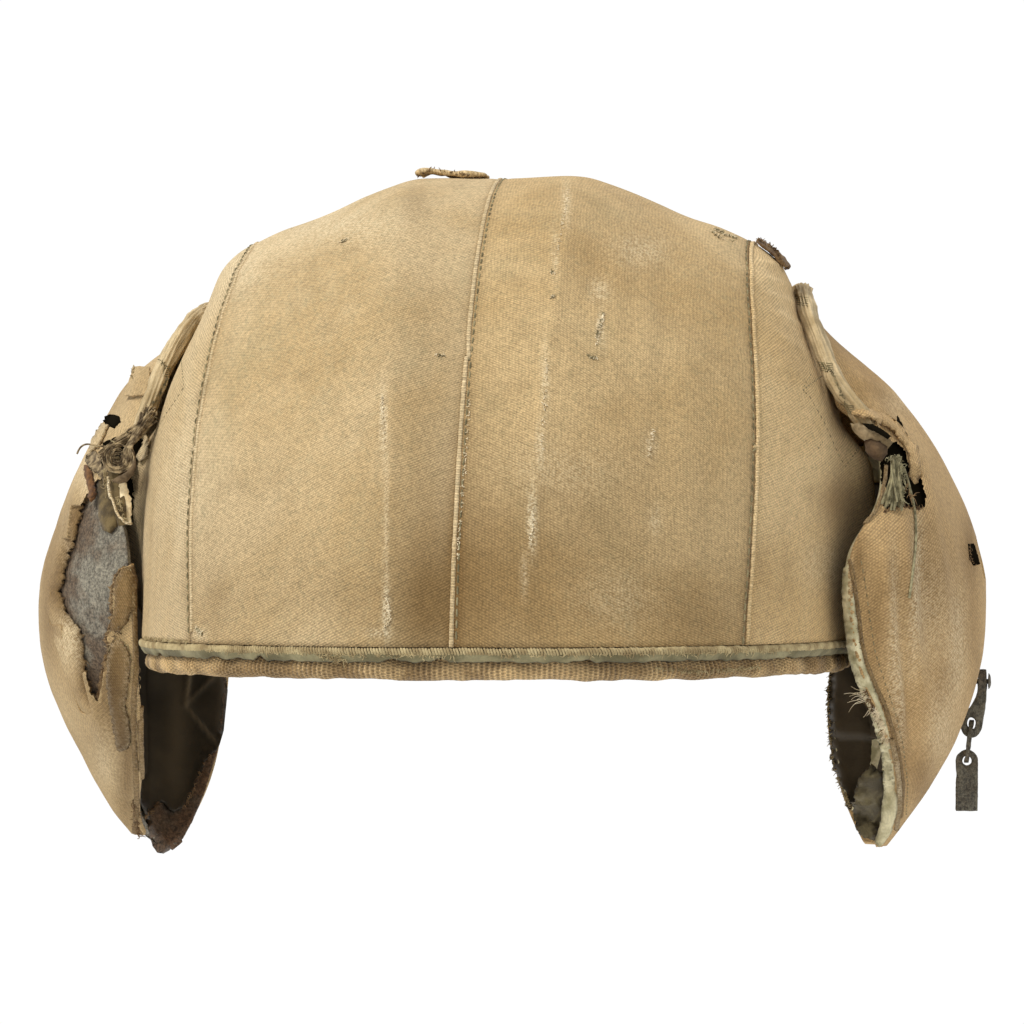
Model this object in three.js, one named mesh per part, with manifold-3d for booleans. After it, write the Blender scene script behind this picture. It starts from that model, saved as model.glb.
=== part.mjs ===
// A cloth-covered flak helmet: a skull cap of overlapping steel plates under twill, with two armoured
// ear flaps. Millimetres, +Z up. The face opening looks along -Y, and +X is the wearer's left.
// The origin is the middle of the rim plane, where the helmet sits on a head.
import * as THREE from "three";
import { LoftGeometry } from "three/addons/geometries/LoftGeometry.js";
import { mergeVertices } from "three/addons/utils/BufferGeometryUtils.js";
import Module from "manifold-3d";

// Driving dimensions of the crown
const RIM_HALF_WIDTH = 106.5;
const RIM_HALF_LENGTH = 128;
const PLAN_POWER = 2.3; // 2 is an ellipse, more is squarer
const FRONT_RISE_POWER = 1.41; // how far the brow leans back
const BACK_RISE_POWER = 1.12; // the nape is rounder than the brow
const SEAM_TOP_OUT = 75;
const SEAM_TOP_HEIGHT = 118.8;
const SEAM_GAP = 0.3; // between two sewn panels
const CROWN_WALL = 3; // twill, plate and backing together

// Driving dimensions of the rim
const BINDING_RADIUS = 1.6;
const RIM_STATIONS = 60;

// Driving dimensions of the ear arches and flaps
const ARCH_CENTRE_Y = 18;
const ARCH_HALF_SPAN = 48;
const ARCH_FOOT_HEIGHT = 59.5;
const LEFT_ARCH_RISE = 44;
const RIGHT_ARCH_RISE = 39; // the right arch has sagged
const ROLL_RADIUS = 2.8;
const ROLL_LEAN = 6;
const REST_GAP = 0.4; // between a soft piece and what it lies on
const ARCH_INSET = 4.4; // from the middle of the roll to the flap's sewn edge
const COVER_WALL = 1.6;
const PAD_WALL = 3;
const PLATE_WALL = 1.3;
const LINING_WALL = 1.2;
const LAYER_GAP = 0.35;

// Driving dimensions of the strap hanger
const HANGER_Y = 25;
const RIVET_HEIGHT = -14;
const RIVET_RADIUS = 2.7;
const RIVET_SHANK = 0.8;
const STEEL_SHEET = 1.3;
const BAR_DEPTH = 4;
const LINK_WIRE = 1.3;
const LINK_LEAN = 0.12; // the drop hangs in along the flap

// The side of the crown seen from the front: how far out it stands at each height.
const sideSection = [
  { height: 0, out: RIM_HALF_WIDTH },
  { height: 17.5, out: 107 },
  { height: 37.5, out: 106.5 },
  { height: 57.5, out: 104.2 },
  { height: 72.5, out: 100.3 },
  { height: 83.5, out: 96 },
  { height: 92.5, out: 91.2 },
  { height: 99.5, out: 88 },
  { height: 106.5, out: 86.2 },
  { height: 112.5, out: 83 },
  { height: SEAM_TOP_HEIGHT, out: SEAM_TOP_OUT },
];

// The top of the crown seen from the front: its height at each distance from the middle.
const topSection = [
  { out: 0, height: 138.5 },
  { out: 26, height: 137.9 },
  { out: 33, height: 136.3 },
  { out: 42, height: 132.5 },
  { out: 53, height: 127.7 },
  { out: 60, height: 125.9 },
  { out: 68, height: 122.7 },
  { out: SEAM_TOP_OUT, height: SEAM_TOP_HEIGHT },
];

// Lines that run from the brow over the top to the nape, from the middle seam to the side seam.
// atRim and atTop are distances from the middle, bow is how far the line swings out between them,
// and proud is how far the plate edge or the wave under the cloth lifts it.
const crownLines = [
  { name: "middle seam", atRim: SEAM_GAP / 2, atTop: SEAM_GAP / 2, bow: 0, proud: -0.4 },
  { name: "middle plate", atRim: 9, atTop: 12, bow: 0, proud: -0.1 },
  { name: "plate ridge", atRim: 18, atTop: 25, bow: 0.5, proud: 1 },
  { name: "below the ridge", atRim: 24, atTop: 32, bow: 1, proud: -0.2 },
  { name: "flank wave", atRim: 38, atTop: 44, bow: 2, proud: 0.5 },
  { name: "flank plate", atRim: 52, atTop: 56, bow: 3, proud: -0.4 },
  { name: "shoulder", atRim: 66, atTop: 66, bow: 4, proud: 0.3 },
  { name: "side seam", atRim: 79, atTop: SEAM_TOP_OUT, bow: 5, proud: 0 },
];
const SIDE_STEPS = 18;
const SEAM_HEIGHTS = [0, 13, 27, 41, 56, 70, 81.5, 91, 100, 107, 112.5, 116.2, 118.2];

// Shallow dents in the worn crown: where each is, how wide, and how deep.
const crownDents = [
  { x: -58, y: -20, z: 127.5, width: 16, depth: 1.5 },
  { x: 60, y: 12, z: 125.5, width: 14, depth: 1.8 },
  { x: -40, y: -100, z: 57.5, width: 22, depth: 1.2 },
  { x: 52, y: -94, z: 45.5, width: 24, depth: 1.3 },
  { x: 12, y: 70, z: 105.5, width: 26, depth: 1.6 },
  { x: -50, y: 88, z: 59.5, width: 24, depth: 1.4 },
  { x: 98, y: -52, z: 27.5, width: 18, depth: 1.2 },
  { x: -98, y: -50, z: 21.5, width: 18, depth: 1.0 },
];

// Level cuts through the left ear flap. Each gives the front edge, how far the cup bulges, and the
// back edge. Above the arch's feet the edges lie along the arch, so only the bulge is given.
const leftFlapCuts = [
  { height: 98.5, bulge: 91.5 },
  { height: 94, bulge: 95 },
  { height: 88.5, bulge: 100 },
  { height: 82.5, bulge: 107.5 },
  { height: 76.5, bulge: 114.5 },
  { height: 68.5, bulge: 121 },
  { height: 59.5, frontY: -21, frontX: 115.5, bulge: 127, backY: 63, backX: 97.5 },
  { height: 49.5, frontY: -27, frontX: 118, bulge: 132.7, backY: 74, backX: 98 },
  { height: 39.5, frontY: -39, frontX: 115, bulge: 138, backY: 82, backX: 98.5 },
  { height: 29.5, frontY: -54, frontX: 107.5, bulge: 142, backY: 85, backX: 98.5 },
  { height: 17.5, frontY: -58, frontX: 107, bulge: 144.6, backY: 87, backX: 98 },
  { height: 3.5, frontY: -56, frontX: 107.5, bulge: 145, backY: 87, backX: 97 },
  { height: -10.5, frontY: -49, frontX: 110, bulge: 143, backY: 84, backX: 95.5 },
  { height: -23.5, frontY: -38, frontX: 115, bulge: 138.5, backY: 78, backX: 94.5 },
  { height: -35.5, frontY: -24, frontX: 118.3, bulge: 133, backY: 70, backX: 95.5 },
  { height: -46.5, frontY: -6, frontX: 119, bulge: 126.5, backY: 61, backX: 98.5 },
  { height: -56.5, frontY: 12, frontX: 117, bulge: 120, backY: 51, backX: 102.5 },
  { height: -65, frontY: 27, frontX: 111.5, bulge: 113.3, backY: 42, backX: 107.5 },
];

// The same cuts through the right flap, whose front edge has sagged against the crown. They are
// given as if it were on the left, and flapPoint mirrors them. The last one is the bare plate's.
const rightFlapCuts = [
  { height: 93.5, bulge: 96 },
  { height: 90, bulge: 100 },
  { height: 85.5, bulge: 107.5 },
  { height: 80.5, bulge: 113.7 },
  { height: 75.5, bulge: 118.3 },
  { height: 67.5, bulge: 122.5 },
  { height: 59.5, frontY: -21, frontX: 113, bulge: 126.3, backY: 63, backX: 97.5 },
  { height: 49.5, frontY: -28, frontX: 114.5, bulge: 131.7, backY: 74, backX: 98 },
  { height: 39.5, frontY: -37, frontX: 111, bulge: 136.8, backY: 82, backX: 98.5 },
  { height: 29.5, frontY: -44, frontX: 106, bulge: 141, backY: 85, backX: 98.5 },
  { height: 17.5, frontY: -47, frontX: 105, bulge: 144.2, backY: 87, backX: 98 },
  { height: 3.5, frontY: -45, frontX: 105, bulge: 145.3, backY: 87, backX: 97.5 },
  { height: -10.5, frontY: -38, frontX: 105.6, bulge: 144, backY: 84, backX: 98 },
  { height: -23.5, frontY: -28, frontX: 106.2, bulge: 139.7, backY: 78, backX: 98 },
  { height: -35.5, frontY: -14, frontX: 108, bulge: 134.5, backY: 70, backX: 98.5 },
  { height: -46.5, frontY: 0, frontX: 111, bulge: 129.5, backY: 62, backX: 99.5 },
  { height: -56.5, frontY: 15, frontX: 115, bulge: 124.5, backY: 53, backX: 102.5 },
  { height: -63, frontY: 27, frontX: 114.5, bulge: 119.5, backY: 46, backX: 105.5 },
  { height: -68, frontY: 35, frontX: 110.5, bulge: 112.5, backY: 42, backX: 107.5 },
];

// Upright folds in a flap's cover: how far back along the level cut, and how far each stands out.
const flapFolds = [
  { along: 0.16, lift: 0.7 },
  { along: 0.3, lift: -0.9 },
  { along: 0.44, lift: 0.8 },
  { along: 0.62, lift: -0.8 },
  { along: 0.8, lift: 0.7 },
];
const FOLD_WIDTH = 0.07;
const FLAP_STEPS = 14;

// The layers of a flap, as the first and last cut each one spans, how far it stops short of the
// front and back edges, and its depth behind the cover's outer face.
const layers = {
  leftCover: { firstCut: 0, lastCut: 17, front: 0, back: 0, depth: 0, wall: COVER_WALL },
  leftPad: { firstCut: 6, lastCut: 16, front: 0.004, back: 0.03, depth: COVER_WALL + LAYER_GAP, wall: PAD_WALL },
  leftLining: {
    firstCut: 7,
    lastCut: 16,
    front: 0.03,
    back: 0.04,
    depth: COVER_WALL + PAD_WALL + 2 * LAYER_GAP,
    wall: LINING_WALL,
  },
  rightCover: { firstCut: 0, lastCut: 17, front: 0, back: 0, depth: 0, wall: COVER_WALL },
  rightPlate: { firstCut: 6, lastCut: 18, front: 0.02, back: 0.01, depth: COVER_WALL + LAYER_GAP, wall: PLATE_WALL },
  rightLining: {
    firstCut: 7,
    lastCut: 16,
    front: 0.03,
    back: 0.03,
    depth: COVER_WALL + PLATE_WALL + 2 * LAYER_GAP,
    wall: LINING_WALL,
  },
};

// Where the right flap's cloth is worn through to the plate: the columns of cells that are open
// below each cut.
const rightWindow = [
  { cut: 8, from: 1, to: 3 },
  { cut: 9, from: 1, to: 4 },
  { cut: 10, from: 1, to: 4 },
  { cut: 11, from: 1, to: 3 },
  { cut: 12, from: 2, to: 3 },
];

// Where the left flap's cover is torn open.
const leftTears = [
  { cut: 7, from: 1, to: 2 },
  { cut: 9, from: 6, to: 7 },
];

// Where the hems of the two linings have frayed away towards the back.
const leftHem = [
  { cut: 14, from: 11, to: 14 },
  { cut: 15, from: 7, to: 14 },
];
const rightHem = [
  { cut: 14, from: 12, to: 14 },
  { cut: 15, from: 8, to: 14 },
];

// The torn ends at the hinges: strands as the wearer's left side has them, and which side each is on.
// out, back and up place each bend, and wide and thick are the strand's size there.
const hingeStrands = {
  hinge_cords_right: {
    side: -1,
    bends: [
      { out: 105.5, back: -36, up: 64, wide: 5, thick: 4 },
      { out: 108.5, back: -39, up: 63, wide: 8, thick: 6 },
      { out: 113, back: -37, up: 59.5, wide: 10, thick: 7 },
      { out: 116, back: -33, up: 54.5, wide: 8, thick: 6 },
      { out: 116.5, back: -31, up: 49.5, wide: 5, thick: 4 },
    ],
  },
  hinge_cords_left: {
    side: 1,
    bends: [
      { out: 116.8, back: -31.1, up: 57, wide: 6, thick: 4 },
      { out: 118.3, back: -32.1, up: 52.5, wide: 7, thick: 5 },
      { out: 118.8, back: -33.1, up: 47, wide: 6, thick: 4.5 },
      { out: 117.8, back: -38.1, up: 41.5, wide: 5.5, thick: 3.5 },
      { out: 115.8, back: -45.1, up: 36.5, wide: 4, thick: 2.5 },
    ],
  },
  hinge_strip_right: {
    side: -1,
    bends: [
      { out: 112, back: -37.3, up: 53.5, wide: 4, thick: 1.6 },
      { out: 111.5, back: -39.3, up: 47.5, wide: 5, thick: 1.4 },
      { out: 109.5, back: -42.3, up: 40.5, wide: 5, thick: 1.2 },
      { out: 108.5, back: -43.3, up: 33.5, wide: 3, thick: 1 },
    ],
  },
};

// Small arithmetic

const lerp = THREE.MathUtils.lerp;
const clamp = THREE.MathUtils.clamp;

// One column of a table at a value of its key column, on a smooth curve through the rows.
function read(table, key, column, value) {
  const rows = table[0][key] < table.at(-1)[key] ? table : [...table].reverse();
  const last = rows.length - 1;
  let i = 0;
  while (i < last - 1 && value > rows[i + 1][key]) i += 1;
  const row = (n) => rows[clamp(n, 0, last)];
  const slope = (a, b) => (b[column] - a[column]) / (b[key] - a[key]);
  const span = row(i + 1)[key] - row(i)[key];
  const t = clamp((value - row(i)[key]) / span, 0, 1);
  const startSlope = slope(row(i - 1), row(i + 1)) * span;
  const endSlope = slope(row(i), row(i + 2)) * span;
  const rise = row(i + 1)[column] - row(i)[column];
  const bend = t * (1 - t) * ((1 - t) * (startSlope - rise) - t * (endSlope - rise));
  return row(i)[column] + t * rise + bend;
}

function bell(distance, width) {
  return Math.exp(-((distance / width) ** 2));
}

// Builders

function meshOf(name, geometry, material) {
  const mesh = new THREE.Mesh(geometry, material);
  mesh.name = name;
  return mesh;
}

// The direction out of a grid of points at each of them, for a grid whose rows and columns turn so.
function gridNormals(grid) {
  const rows = grid.length - 1;
  const columns = grid[0].length - 1;
  return grid.map((row, i) =>
    row.map((_, j) => {
      const down = new THREE.Vector3().subVectors(grid[Math.min(i + 1, rows)][j], grid[Math.max(i - 1, 0)][j]);
      const along = new THREE.Vector3().subVectors(row[Math.min(j + 1, columns)], row[Math.max(j - 1, 0)]);
      return down.cross(along).normalize();
    }),
  );
}

// A sheet of even thickness behind a grid of points. near and far are the depths of its two faces
// behind the grid, side is -1 for a mirrored grid, and isOpen says which cells are cut out.
function sheet(grid, near, far, side, isOpen = () => false, normals = gridNormals(grid)) {
  const rows = grid.length;
  const columns = grid[0].length;
  const points = [];
  for (const depth of [near, far]) {
    grid.forEach((row, i) =>
      row.forEach((point, j) => {
        points.push(point.clone().addScaledVector(normals[i][j], -depth * side));
      }),
    );
  }
  const face = (i, j) => i * columns + j;
  const back = (i, j) => rows * columns + face(i, j);
  const solid = (i, j) => i >= 0 && j >= 0 && i < rows - 1 && j < columns - 1 && !isOpen(i, j);
  const index = [];
  const quad = (a, b, c, d) => {
    const corners = side > 0 ? [a, b, c, d] : [d, c, b, a];
    index.push(corners[0], corners[1], corners[2], corners[0], corners[2], corners[3]);
  };
  for (let i = 0; i < rows - 1; i += 1) {
    for (let j = 0; j < columns - 1; j += 1) {
      if (!solid(i, j)) continue;
      quad(face(i, j), face(i + 1, j), face(i + 1, j + 1), face(i, j + 1));
      quad(back(i, j), back(i, j + 1), back(i + 1, j + 1), back(i + 1, j));
      if (!solid(i - 1, j)) quad(face(i, j), face(i, j + 1), back(i, j + 1), back(i, j));
      if (!solid(i + 1, j)) quad(face(i + 1, j + 1), face(i + 1, j), back(i + 1, j), back(i + 1, j + 1));
      if (!solid(i, j - 1)) quad(face(i + 1, j), face(i, j), back(i, j), back(i + 1, j));
      if (!solid(i, j + 1)) quad(face(i, j + 1), face(i + 1, j + 1), back(i + 1, j + 1), back(i, j + 1));
    }
  }
  return new THREE.BufferGeometry()
    .setAttribute("position", new THREE.Float32BufferAttribute(points.flatMap((p) => p.toArray()), 3))
    .setIndex(index);
}

// A solid through a row of closed sections. Its faces point out whichever way the sections turn.
function loft(sections, hasEnds = true) {
  const middle = (section) =>
    section.reduce((sum, p) => sum.add(p), new THREE.Vector3()).divideScalar(section.length);
  const turn = new THREE.Vector3();
  const centre = middle(sections[0]);
  sections[0].forEach((p, i) => {
    const next = sections[0][(i + 1) % sections[0].length];
    turn.add(new THREE.Vector3().crossVectors(p.clone().sub(centre), next.clone().sub(centre)));
  });
  const ahead = middle(sections[1]).sub(centre);
  const turned = turn.dot(ahead) < 0 ? sections.map((section) => [...section].reverse()) : sections;
  return new LoftGeometry(turned, { capStart: hasEnds, capEnd: hasEnds });
}

// An oval strand along a row of points, with a width and a thickness for each of them.
function strand(points, widths, thicknesses, outward, sides = 8) {
  const sections = points.map((point, i) => {
    const before = points[Math.max(i - 1, 0)];
    const after = points[Math.min(i + 1, points.length - 1)];
    const along = after.clone().sub(before).normalize();
    const out = outward[i].clone().addScaledVector(along, -outward[i].dot(along)).normalize();
    const across = along.clone().cross(out);
    return Array.from({ length: sides }, (_, k) => {
      const angle = ((k + 0.5) / sides) * 2 * Math.PI;
      return point
        .clone()
        .addScaledVector(across, (Math.cos(angle) * widths[i]) / 2)
        .addScaledVector(out, (Math.sin(angle) * thicknesses[i]) / 2);
    });
  });
  return loft(sections);
}

const wasm = await Module();
wasm.setup();

function solidOf(geometry) {
  const bare = new THREE.BufferGeometry()
    .setAttribute("position", geometry.getAttribute("position"))
    .setIndex(geometry.index);
  const merged = mergeVertices(bare, 1e-3);
  const vertProperties = merged.attributes.position.array;
  return new wasm.Manifold(
    new wasm.Mesh({ numProp: 3, vertProperties, triVerts: new Uint32Array(merged.index.array) }),
  );
}

function geometryOf(solid) {
  const { vertProperties, triVerts } = solid.getMesh();
  return new THREE.BufferGeometry()
    .setAttribute("position", new THREE.BufferAttribute(vertProperties, 3))
    .setIndex(new THREE.BufferAttribute(triVerts, 1));
}

// The crown's surface

// Half the length of the rim at a distance out from the middle. The brow is flat across its plate.
function rimReach(out) {
  const flat = Math.max(out, crownLines[2].atRim);
  return RIM_HALF_LENGTH * (1 - (flat / RIM_HALF_WIDTH) ** PLAN_POWER) ** (1 / PLAN_POWER);
}

function dented(point) {
  let depth = 0;
  for (const dent of crownDents) {
    const distance = point.distanceTo(new THREE.Vector3(dent.x, dent.y, dent.z));
    depth += dent.depth * bell(distance, dent.width);
  }
  const inward = new THREE.Vector3(point.x, point.y, point.z + RIM_HALF_WIDTH / 4).normalize();
  return point.clone().addScaledVector(inward, -depth);
}

// A point of a crown line at a share of its full height, on the brow side or the nape side.
function crownPoint(line, rise, isFront) {
  const lift = rise ** (1 / (isFront ? FRONT_RISE_POWER : BACK_RISE_POWER));
  const forward = Math.sqrt(1 - lift * lift) * (isFront ? 1 : -1);
  const out = lerp(line.atRim, line.atTop, rise) + line.bow * Math.sin(Math.PI * rise) * 0.8;
  const height = read(topSection, "out", "height", line.atTop) * rise;
  const reach = rimReach(line.atRim) * forward;
  const proud = line.proud * Math.min(1, 4 * rise + 0.3);
  return new THREE.Vector3(out, -reach, height).add(new THREE.Vector3(0, -forward * proud, lift * proud));
}

// Where the side seam stands at a height, on the brow side or the nape side.
function seamAt(height, isFront) {
  return crownPoint(crownLines.at(-1), height / SEAM_TOP_HEIGHT, isFront);
}

// The level cut through the side of the crown: how far out it stands, and its reach to the front
// and the back if it went on to the middle.
function sideCut(height) {
  const out = read(sideSection, "height", "out", height);
  const reachOf = (isFront) => {
    const seam = seamAt(height, isFront);
    const end = Math.acos((seam.x / out) ** (PLAN_POWER / 2));
    return { end, reach: Math.abs(seam.y) / Math.sin(end) ** (2 / PLAN_POWER) };
  };
  return { out, front: reachOf(true), back: reachOf(false) };
}

// The crown's side at a place seen from the side, and the direction out of it.
function sidePoint(y, height) {
  const outAt = (yy, zz) => {
    const cut = sideCut(zz);
    const reach = yy < 0 ? cut.front.reach : cut.back.reach;
    return cut.out * (1 - (Math.abs(yy) / reach) ** PLAN_POWER) ** (1 / PLAN_POWER);
  };
  const step = 1;
  const slopeY = (outAt(y + step, height) - outAt(y - step, height)) / (2 * step);
  const slopeZ = (outAt(y, height + step) - outAt(y, height - step)) / (2 * step);
  return {
    point: new THREE.Vector3(outAt(y, height), y, height),
    outward: new THREE.Vector3(1, -slopeY, -slopeZ).normalize(),
  };
}

// Crown panels

// The top panel runs from the brow's rim over the top to the nape's, between middle and side seam.
function topGrid(side) {
  const rises = SEAM_HEIGHTS.map((height) => height / SEAM_TOP_HEIGHT);
  const rows = [
    ...rises.map((rise) => ({ rise, isFront: true })),
    { rise: 1, isFront: true },
    ...rises.toReversed().map((rise) => ({ rise, isFront: false })),
  ];
  return rows.map(({ rise, isFront }) =>
    crownLines.map((line) => {
      const point = crownPoint(line, rise, isFront);
      return dented(new THREE.Vector3(point.x * side, point.y, point.z));
    }),
  );
}

// The side panel runs from the rim up to the seam, in level rows from the brow to the nape.
function sideGrid(side) {
  return SEAM_HEIGHTS.map((height) => {
    const cut = sideCut(height);
    const row = [];
    for (let j = 0; j <= SIDE_STEPS; j += 1) {
      const way = (2 * j) / SIDE_STEPS - 1;
      const half = way < 0 ? cut.front : cut.back;
      const angle = Math.abs(way) * half.end;
      const x = cut.out * Math.cos(angle) ** (2 / PLAN_POWER) + SEAM_GAP;
      const y = Math.sign(way) * half.reach * Math.sin(angle) ** (2 / PLAN_POWER);
      row.push(dented(new THREE.Vector3(x * side, y, height)));
    }
    return row;
  });
}

// The two panels of one half. Along the seam they share one direction out, so that their walls
// stay side by side.
function crownPanels(side) {
  const top = topGrid(side);
  const flank = sideGrid(side);
  const topNormals = gridNormals(top);
  const flankNormals = gridNormals(flank);
  flank.forEach((_, k) => {
    const ends = [
      { topRow: k, column: 0 },
      { topRow: top.length - 1 - k, column: SIDE_STEPS },
    ];
    for (const { topRow, column } of ends) {
      const shared = topNormals[topRow].at(-1).clone().add(flankNormals[k][column]).normalize();
      topNormals[topRow][crownLines.length - 1] = shared;
      flankNormals[k][column] = shared;
    }
  });
  const closed = () => false;
  return {
    top: sheet(top, 0, CROWN_WALL, -side, closed, topNormals),
    flank: sheet(flank, 0, CROWN_WALL, -side, closed, flankNormals),
  };
}

// The rim

// The rim's outline seen from above, at a turn from 0 to 1 round it, and the direction out of it.
function rimPoint(turn) {
  const at = (angle) => {
    const x = Math.sign(Math.cos(angle)) * Math.abs(Math.cos(angle)) ** (2 / PLAN_POWER) * RIM_HALF_WIDTH;
    const y = Math.sign(Math.sin(angle)) * Math.abs(Math.sin(angle)) ** (2 / PLAN_POWER) * RIM_HALF_LENGTH;
    const brow = rimReach(0);
    return new THREE.Vector3(x, clamp(y, -brow, brow), 0);
  };
  const angle = turn * 2 * Math.PI;
  const along = at(angle + 0.02).sub(at(angle - 0.02));
  return { point: at(angle), outward: new THREE.Vector3(along.y, -along.x, 0).normalize() };
}

// A closed ring round the rim whose section is a list of distances out of and above the rim.
function rimRing(section) {
  const sections = [];
  for (let i = 0; i <= RIM_STATIONS; i += 1) {
    const { point, outward } = rimPoint((i % RIM_STATIONS) / RIM_STATIONS);
    sections.push(
      section.map(({ out, up }) => point.clone().addScaledVector(outward, out).setZ(up)),
    );
  }
  return loft(sections, false);
}

function rimBinding() {
  const sides = 6;
  const section = Array.from({ length: sides }, (_, k) => {
    const angle = ((k + 0.5) / sides) * 2 * Math.PI;
    return {
      out: -0.6 + BINDING_RADIUS * Math.cos(angle),
      up: -BINDING_RADIUS - REST_GAP + BINDING_RADIUS * Math.sin(angle),
    };
  });
  return rimRing(section);
}

function sweatBand() {
  const inside = -CROWN_WALL - 3 * REST_GAP;
  return rimRing([
    { out: inside - 3, up: 7.5 },
    { out: inside, up: -0.6 },
    { out: -2.8, up: -4.2 },
    { out: -1.1, up: -5.6 },
    { out: -1.8, up: -8.4 },
    { out: -4.4, up: -9.6 },
    { out: inside - 3.8, up: -7.4 },
    { out: inside - 6.4, up: 7.5 },
  ]);
}

// Ear arches

function archRise(side) {
  return side > 0 ? LEFT_ARCH_RISE : RIGHT_ARCH_RISE;
}

// A point of the arch on the crown's side: 0 at its front foot, 1 at its back foot.
function archPoint(t, side) {
  const angle = t * Math.PI;
  const y = ARCH_CENTRE_Y - ARCH_HALF_SPAN * Math.cos(angle);
  return sidePoint(y, ARCH_FOOT_HEIGHT + archRise(side) * Math.sin(angle));
}

// The padded roll along the arch. Its front end is torn open, flares, and leans out to the flap.
function archRoll(side) {
  const steps = 22;
  const points = [];
  const outward = [];
  const widths = [];
  const thicknesses = [];
  for (let i = 0; i <= steps; i += 1) {
    const t = i / steps;
    const flare = 1 + 0.35 * bell(t, 0.06);
    const end = 1 - 0.35 * bell(1 - t, 0.04);
    const thickness = 2 * ROLL_RADIUS * flare * end;
    const arch = archPoint(t, side);
    const lean = side > 0 ? ROLL_LEAN * bell(t, 0.07) : 0;
    const point = arch.point.addScaledVector(arch.outward, thickness / 2 + REST_GAP + 0.3 + lean);
    points.push(new THREE.Vector3(point.x * side, point.y, point.z));
    outward.push(new THREE.Vector3(arch.outward.x * side, arch.outward.y, arch.outward.z));
    widths.push(thickness * 1.1);
    thicknesses.push(thickness);
  }
  return strand(points, widths, thicknesses, outward);
}

// Ear flaps

// A point of a flap's outer face: along is 0 at the front edge and 1 at the back edge.
function flapPoint(cuts, height, along, side) {
  const value = (column) => read(cuts, "height", column, height);
  const frontY = value("frontY");
  const backY = value("backY");
  const frontX = value("frontX");
  const backX = value("backX");
  const swell = Math.sin(Math.PI * along);
  const middle = (frontX + backX) / 2;
  const x = lerp(frontX, backX, along) + (value("bulge") - middle) * swell;
  const y = lerp(frontY, backY, 0.55 * (0.5 - Math.cos(Math.PI * along) / 2) + 0.45 * along);
  const folds = flapFolds.reduce((sum, fold) => sum + fold.lift * bell(along - fold.along, FOLD_WIDTH), 0);
  const calm = clamp((ARCH_FOOT_HEIGHT + archRise(side) - height) / archRise(side), 0, 1);
  return new THREE.Vector3((x + folds * calm) * side, y, height);
}

// Above the arch's feet a flap's edges lie on the crown inside the arch's roll.
function seatedCuts(cuts, side) {
  const seat = (y, height) => {
    const { point, outward } = sidePoint(y, height);
    return point.x + (COVER_WALL + 2 * REST_GAP) / outward.x;
  };
  return cuts.map((cut) => {
    if (cut.frontX !== undefined) return cut;
    const climb = (cut.height - ARCH_FOOT_HEIGHT) / (archRise(side) - ARCH_INSET);
    const half = (ARCH_HALF_SPAN - ARCH_INSET) * Math.sqrt(1 - climb * climb);
    const frontY = ARCH_CENTRE_Y - half;
    const backY = ARCH_CENTRE_Y + half;
    return { ...cut, frontY, backY, frontX: seat(frontY, cut.height), backX: seat(backY, cut.height) };
  });
}

// One layer of a flap. All layers share the cover's grid, so they nest with an even gap.
function flapLayer(cuts, side, layer, tears = []) {
  const grid = cuts.slice(layer.firstCut, layer.lastCut + 1).map((cut) => {
    const row = [];
    for (let j = 0; j <= FLAP_STEPS; j += 1) {
      const along = clamp(j / FLAP_STEPS, layer.front, 1 - layer.back);
      row.push(flapPoint(cuts, cut.height, along, side));
    }
    return row;
  });
  const isOpen = (i, j) =>
    tears.some(({ cut, from, to }) => cut === i + layer.firstCut && j >= from && j < to);
  return sheet(grid, layer.depth, layer.depth + layer.wall, side, isOpen);
}

// The frayed patch sewn over the right flap's front edge.
function flapPatch() {
  const heights = [0, -8, -16, -23, -31];
  const alongs = [0.012, 0.03, 0.05];
  const grid = heights.map((height) => alongs.map((along) => flapPoint(rightCuts, height, along, -1)));
  return sheet(grid, -LAYER_GAP - 1.1, -LAYER_GAP - 0.2, -1);
}

// The end of the left lining, folded over inside the flap's tip.
function liningFold() {
  const rows = [
    { height: -40.5, depth: 11.8, from: 0.08 },
    { height: -45.5, depth: 12, from: 0.12 },
    { height: -51.5, depth: 11, from: 0.18 },
    { height: -57.5, depth: 9.4, from: 0.26 },
  ];
  const columns = 4;
  const spread = 0.3;
  const grid = rows.map(({ height, depth, from }) => {
    const row = [];
    for (let j = 0; j <= columns; j += 1) {
      const point = flapPoint(leftCuts, height, from + (spread * j) / columns, 1);
      const ripple = j % 2 === 0 ? 0.6 : -0.6;
      row.push(point.setX(point.x - depth + ripple));
    }
    return row;
  });
  return sheet(grid, 0, LINING_WALL, 1);
}

// Torn strands at the hinges

function hingeStrand({ side, bends }) {
  const points = bends.map((bend) => new THREE.Vector3(bend.out * side, bend.back, bend.up));
  const outward = bends.map(() => new THREE.Vector3(0.35 * side, -1, 0));
  const widths = bends.map((bend) => bend.wide);
  const thicknesses = bends.map((bend) => bend.thick);
  return strand(points, widths, thicknesses, outward);
}

// The torn tab of cloth that stands up from the right flap, outside the roll.
function hingeTab() {
  const rows = [
    { height: 81.5, lift: 5 },
    { height: 79, lift: 3.6 },
    { height: 76, lift: 2.4 },
    { height: 72.5, lift: 2.1 },
  ];
  const grid = rows.map(({ height, lift }) =>
    [0.04, 0.11, 0.18].map((along) => {
      const point = flapPoint(rightCuts, height, along, -1);
      return point.setX(point.x - lift);
    }),
  );
  return sheet(grid, 0, 1, -1);
}

// Torn cloth on the crown

// The height of the crown's top at a place seen from above.
function crownTop(x, y) {
  const full = read(topSection, "out", "height", Math.abs(x));
  const forward = Math.abs(y) / rimReach(Math.abs(x) * (crownLines[2].atRim / crownLines[2].atTop));
  const power = y < 0 ? FRONT_RISE_POWER : BACK_RISE_POWER;
  return full * (1 - forward * forward) ** (power / 2);
}

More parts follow.
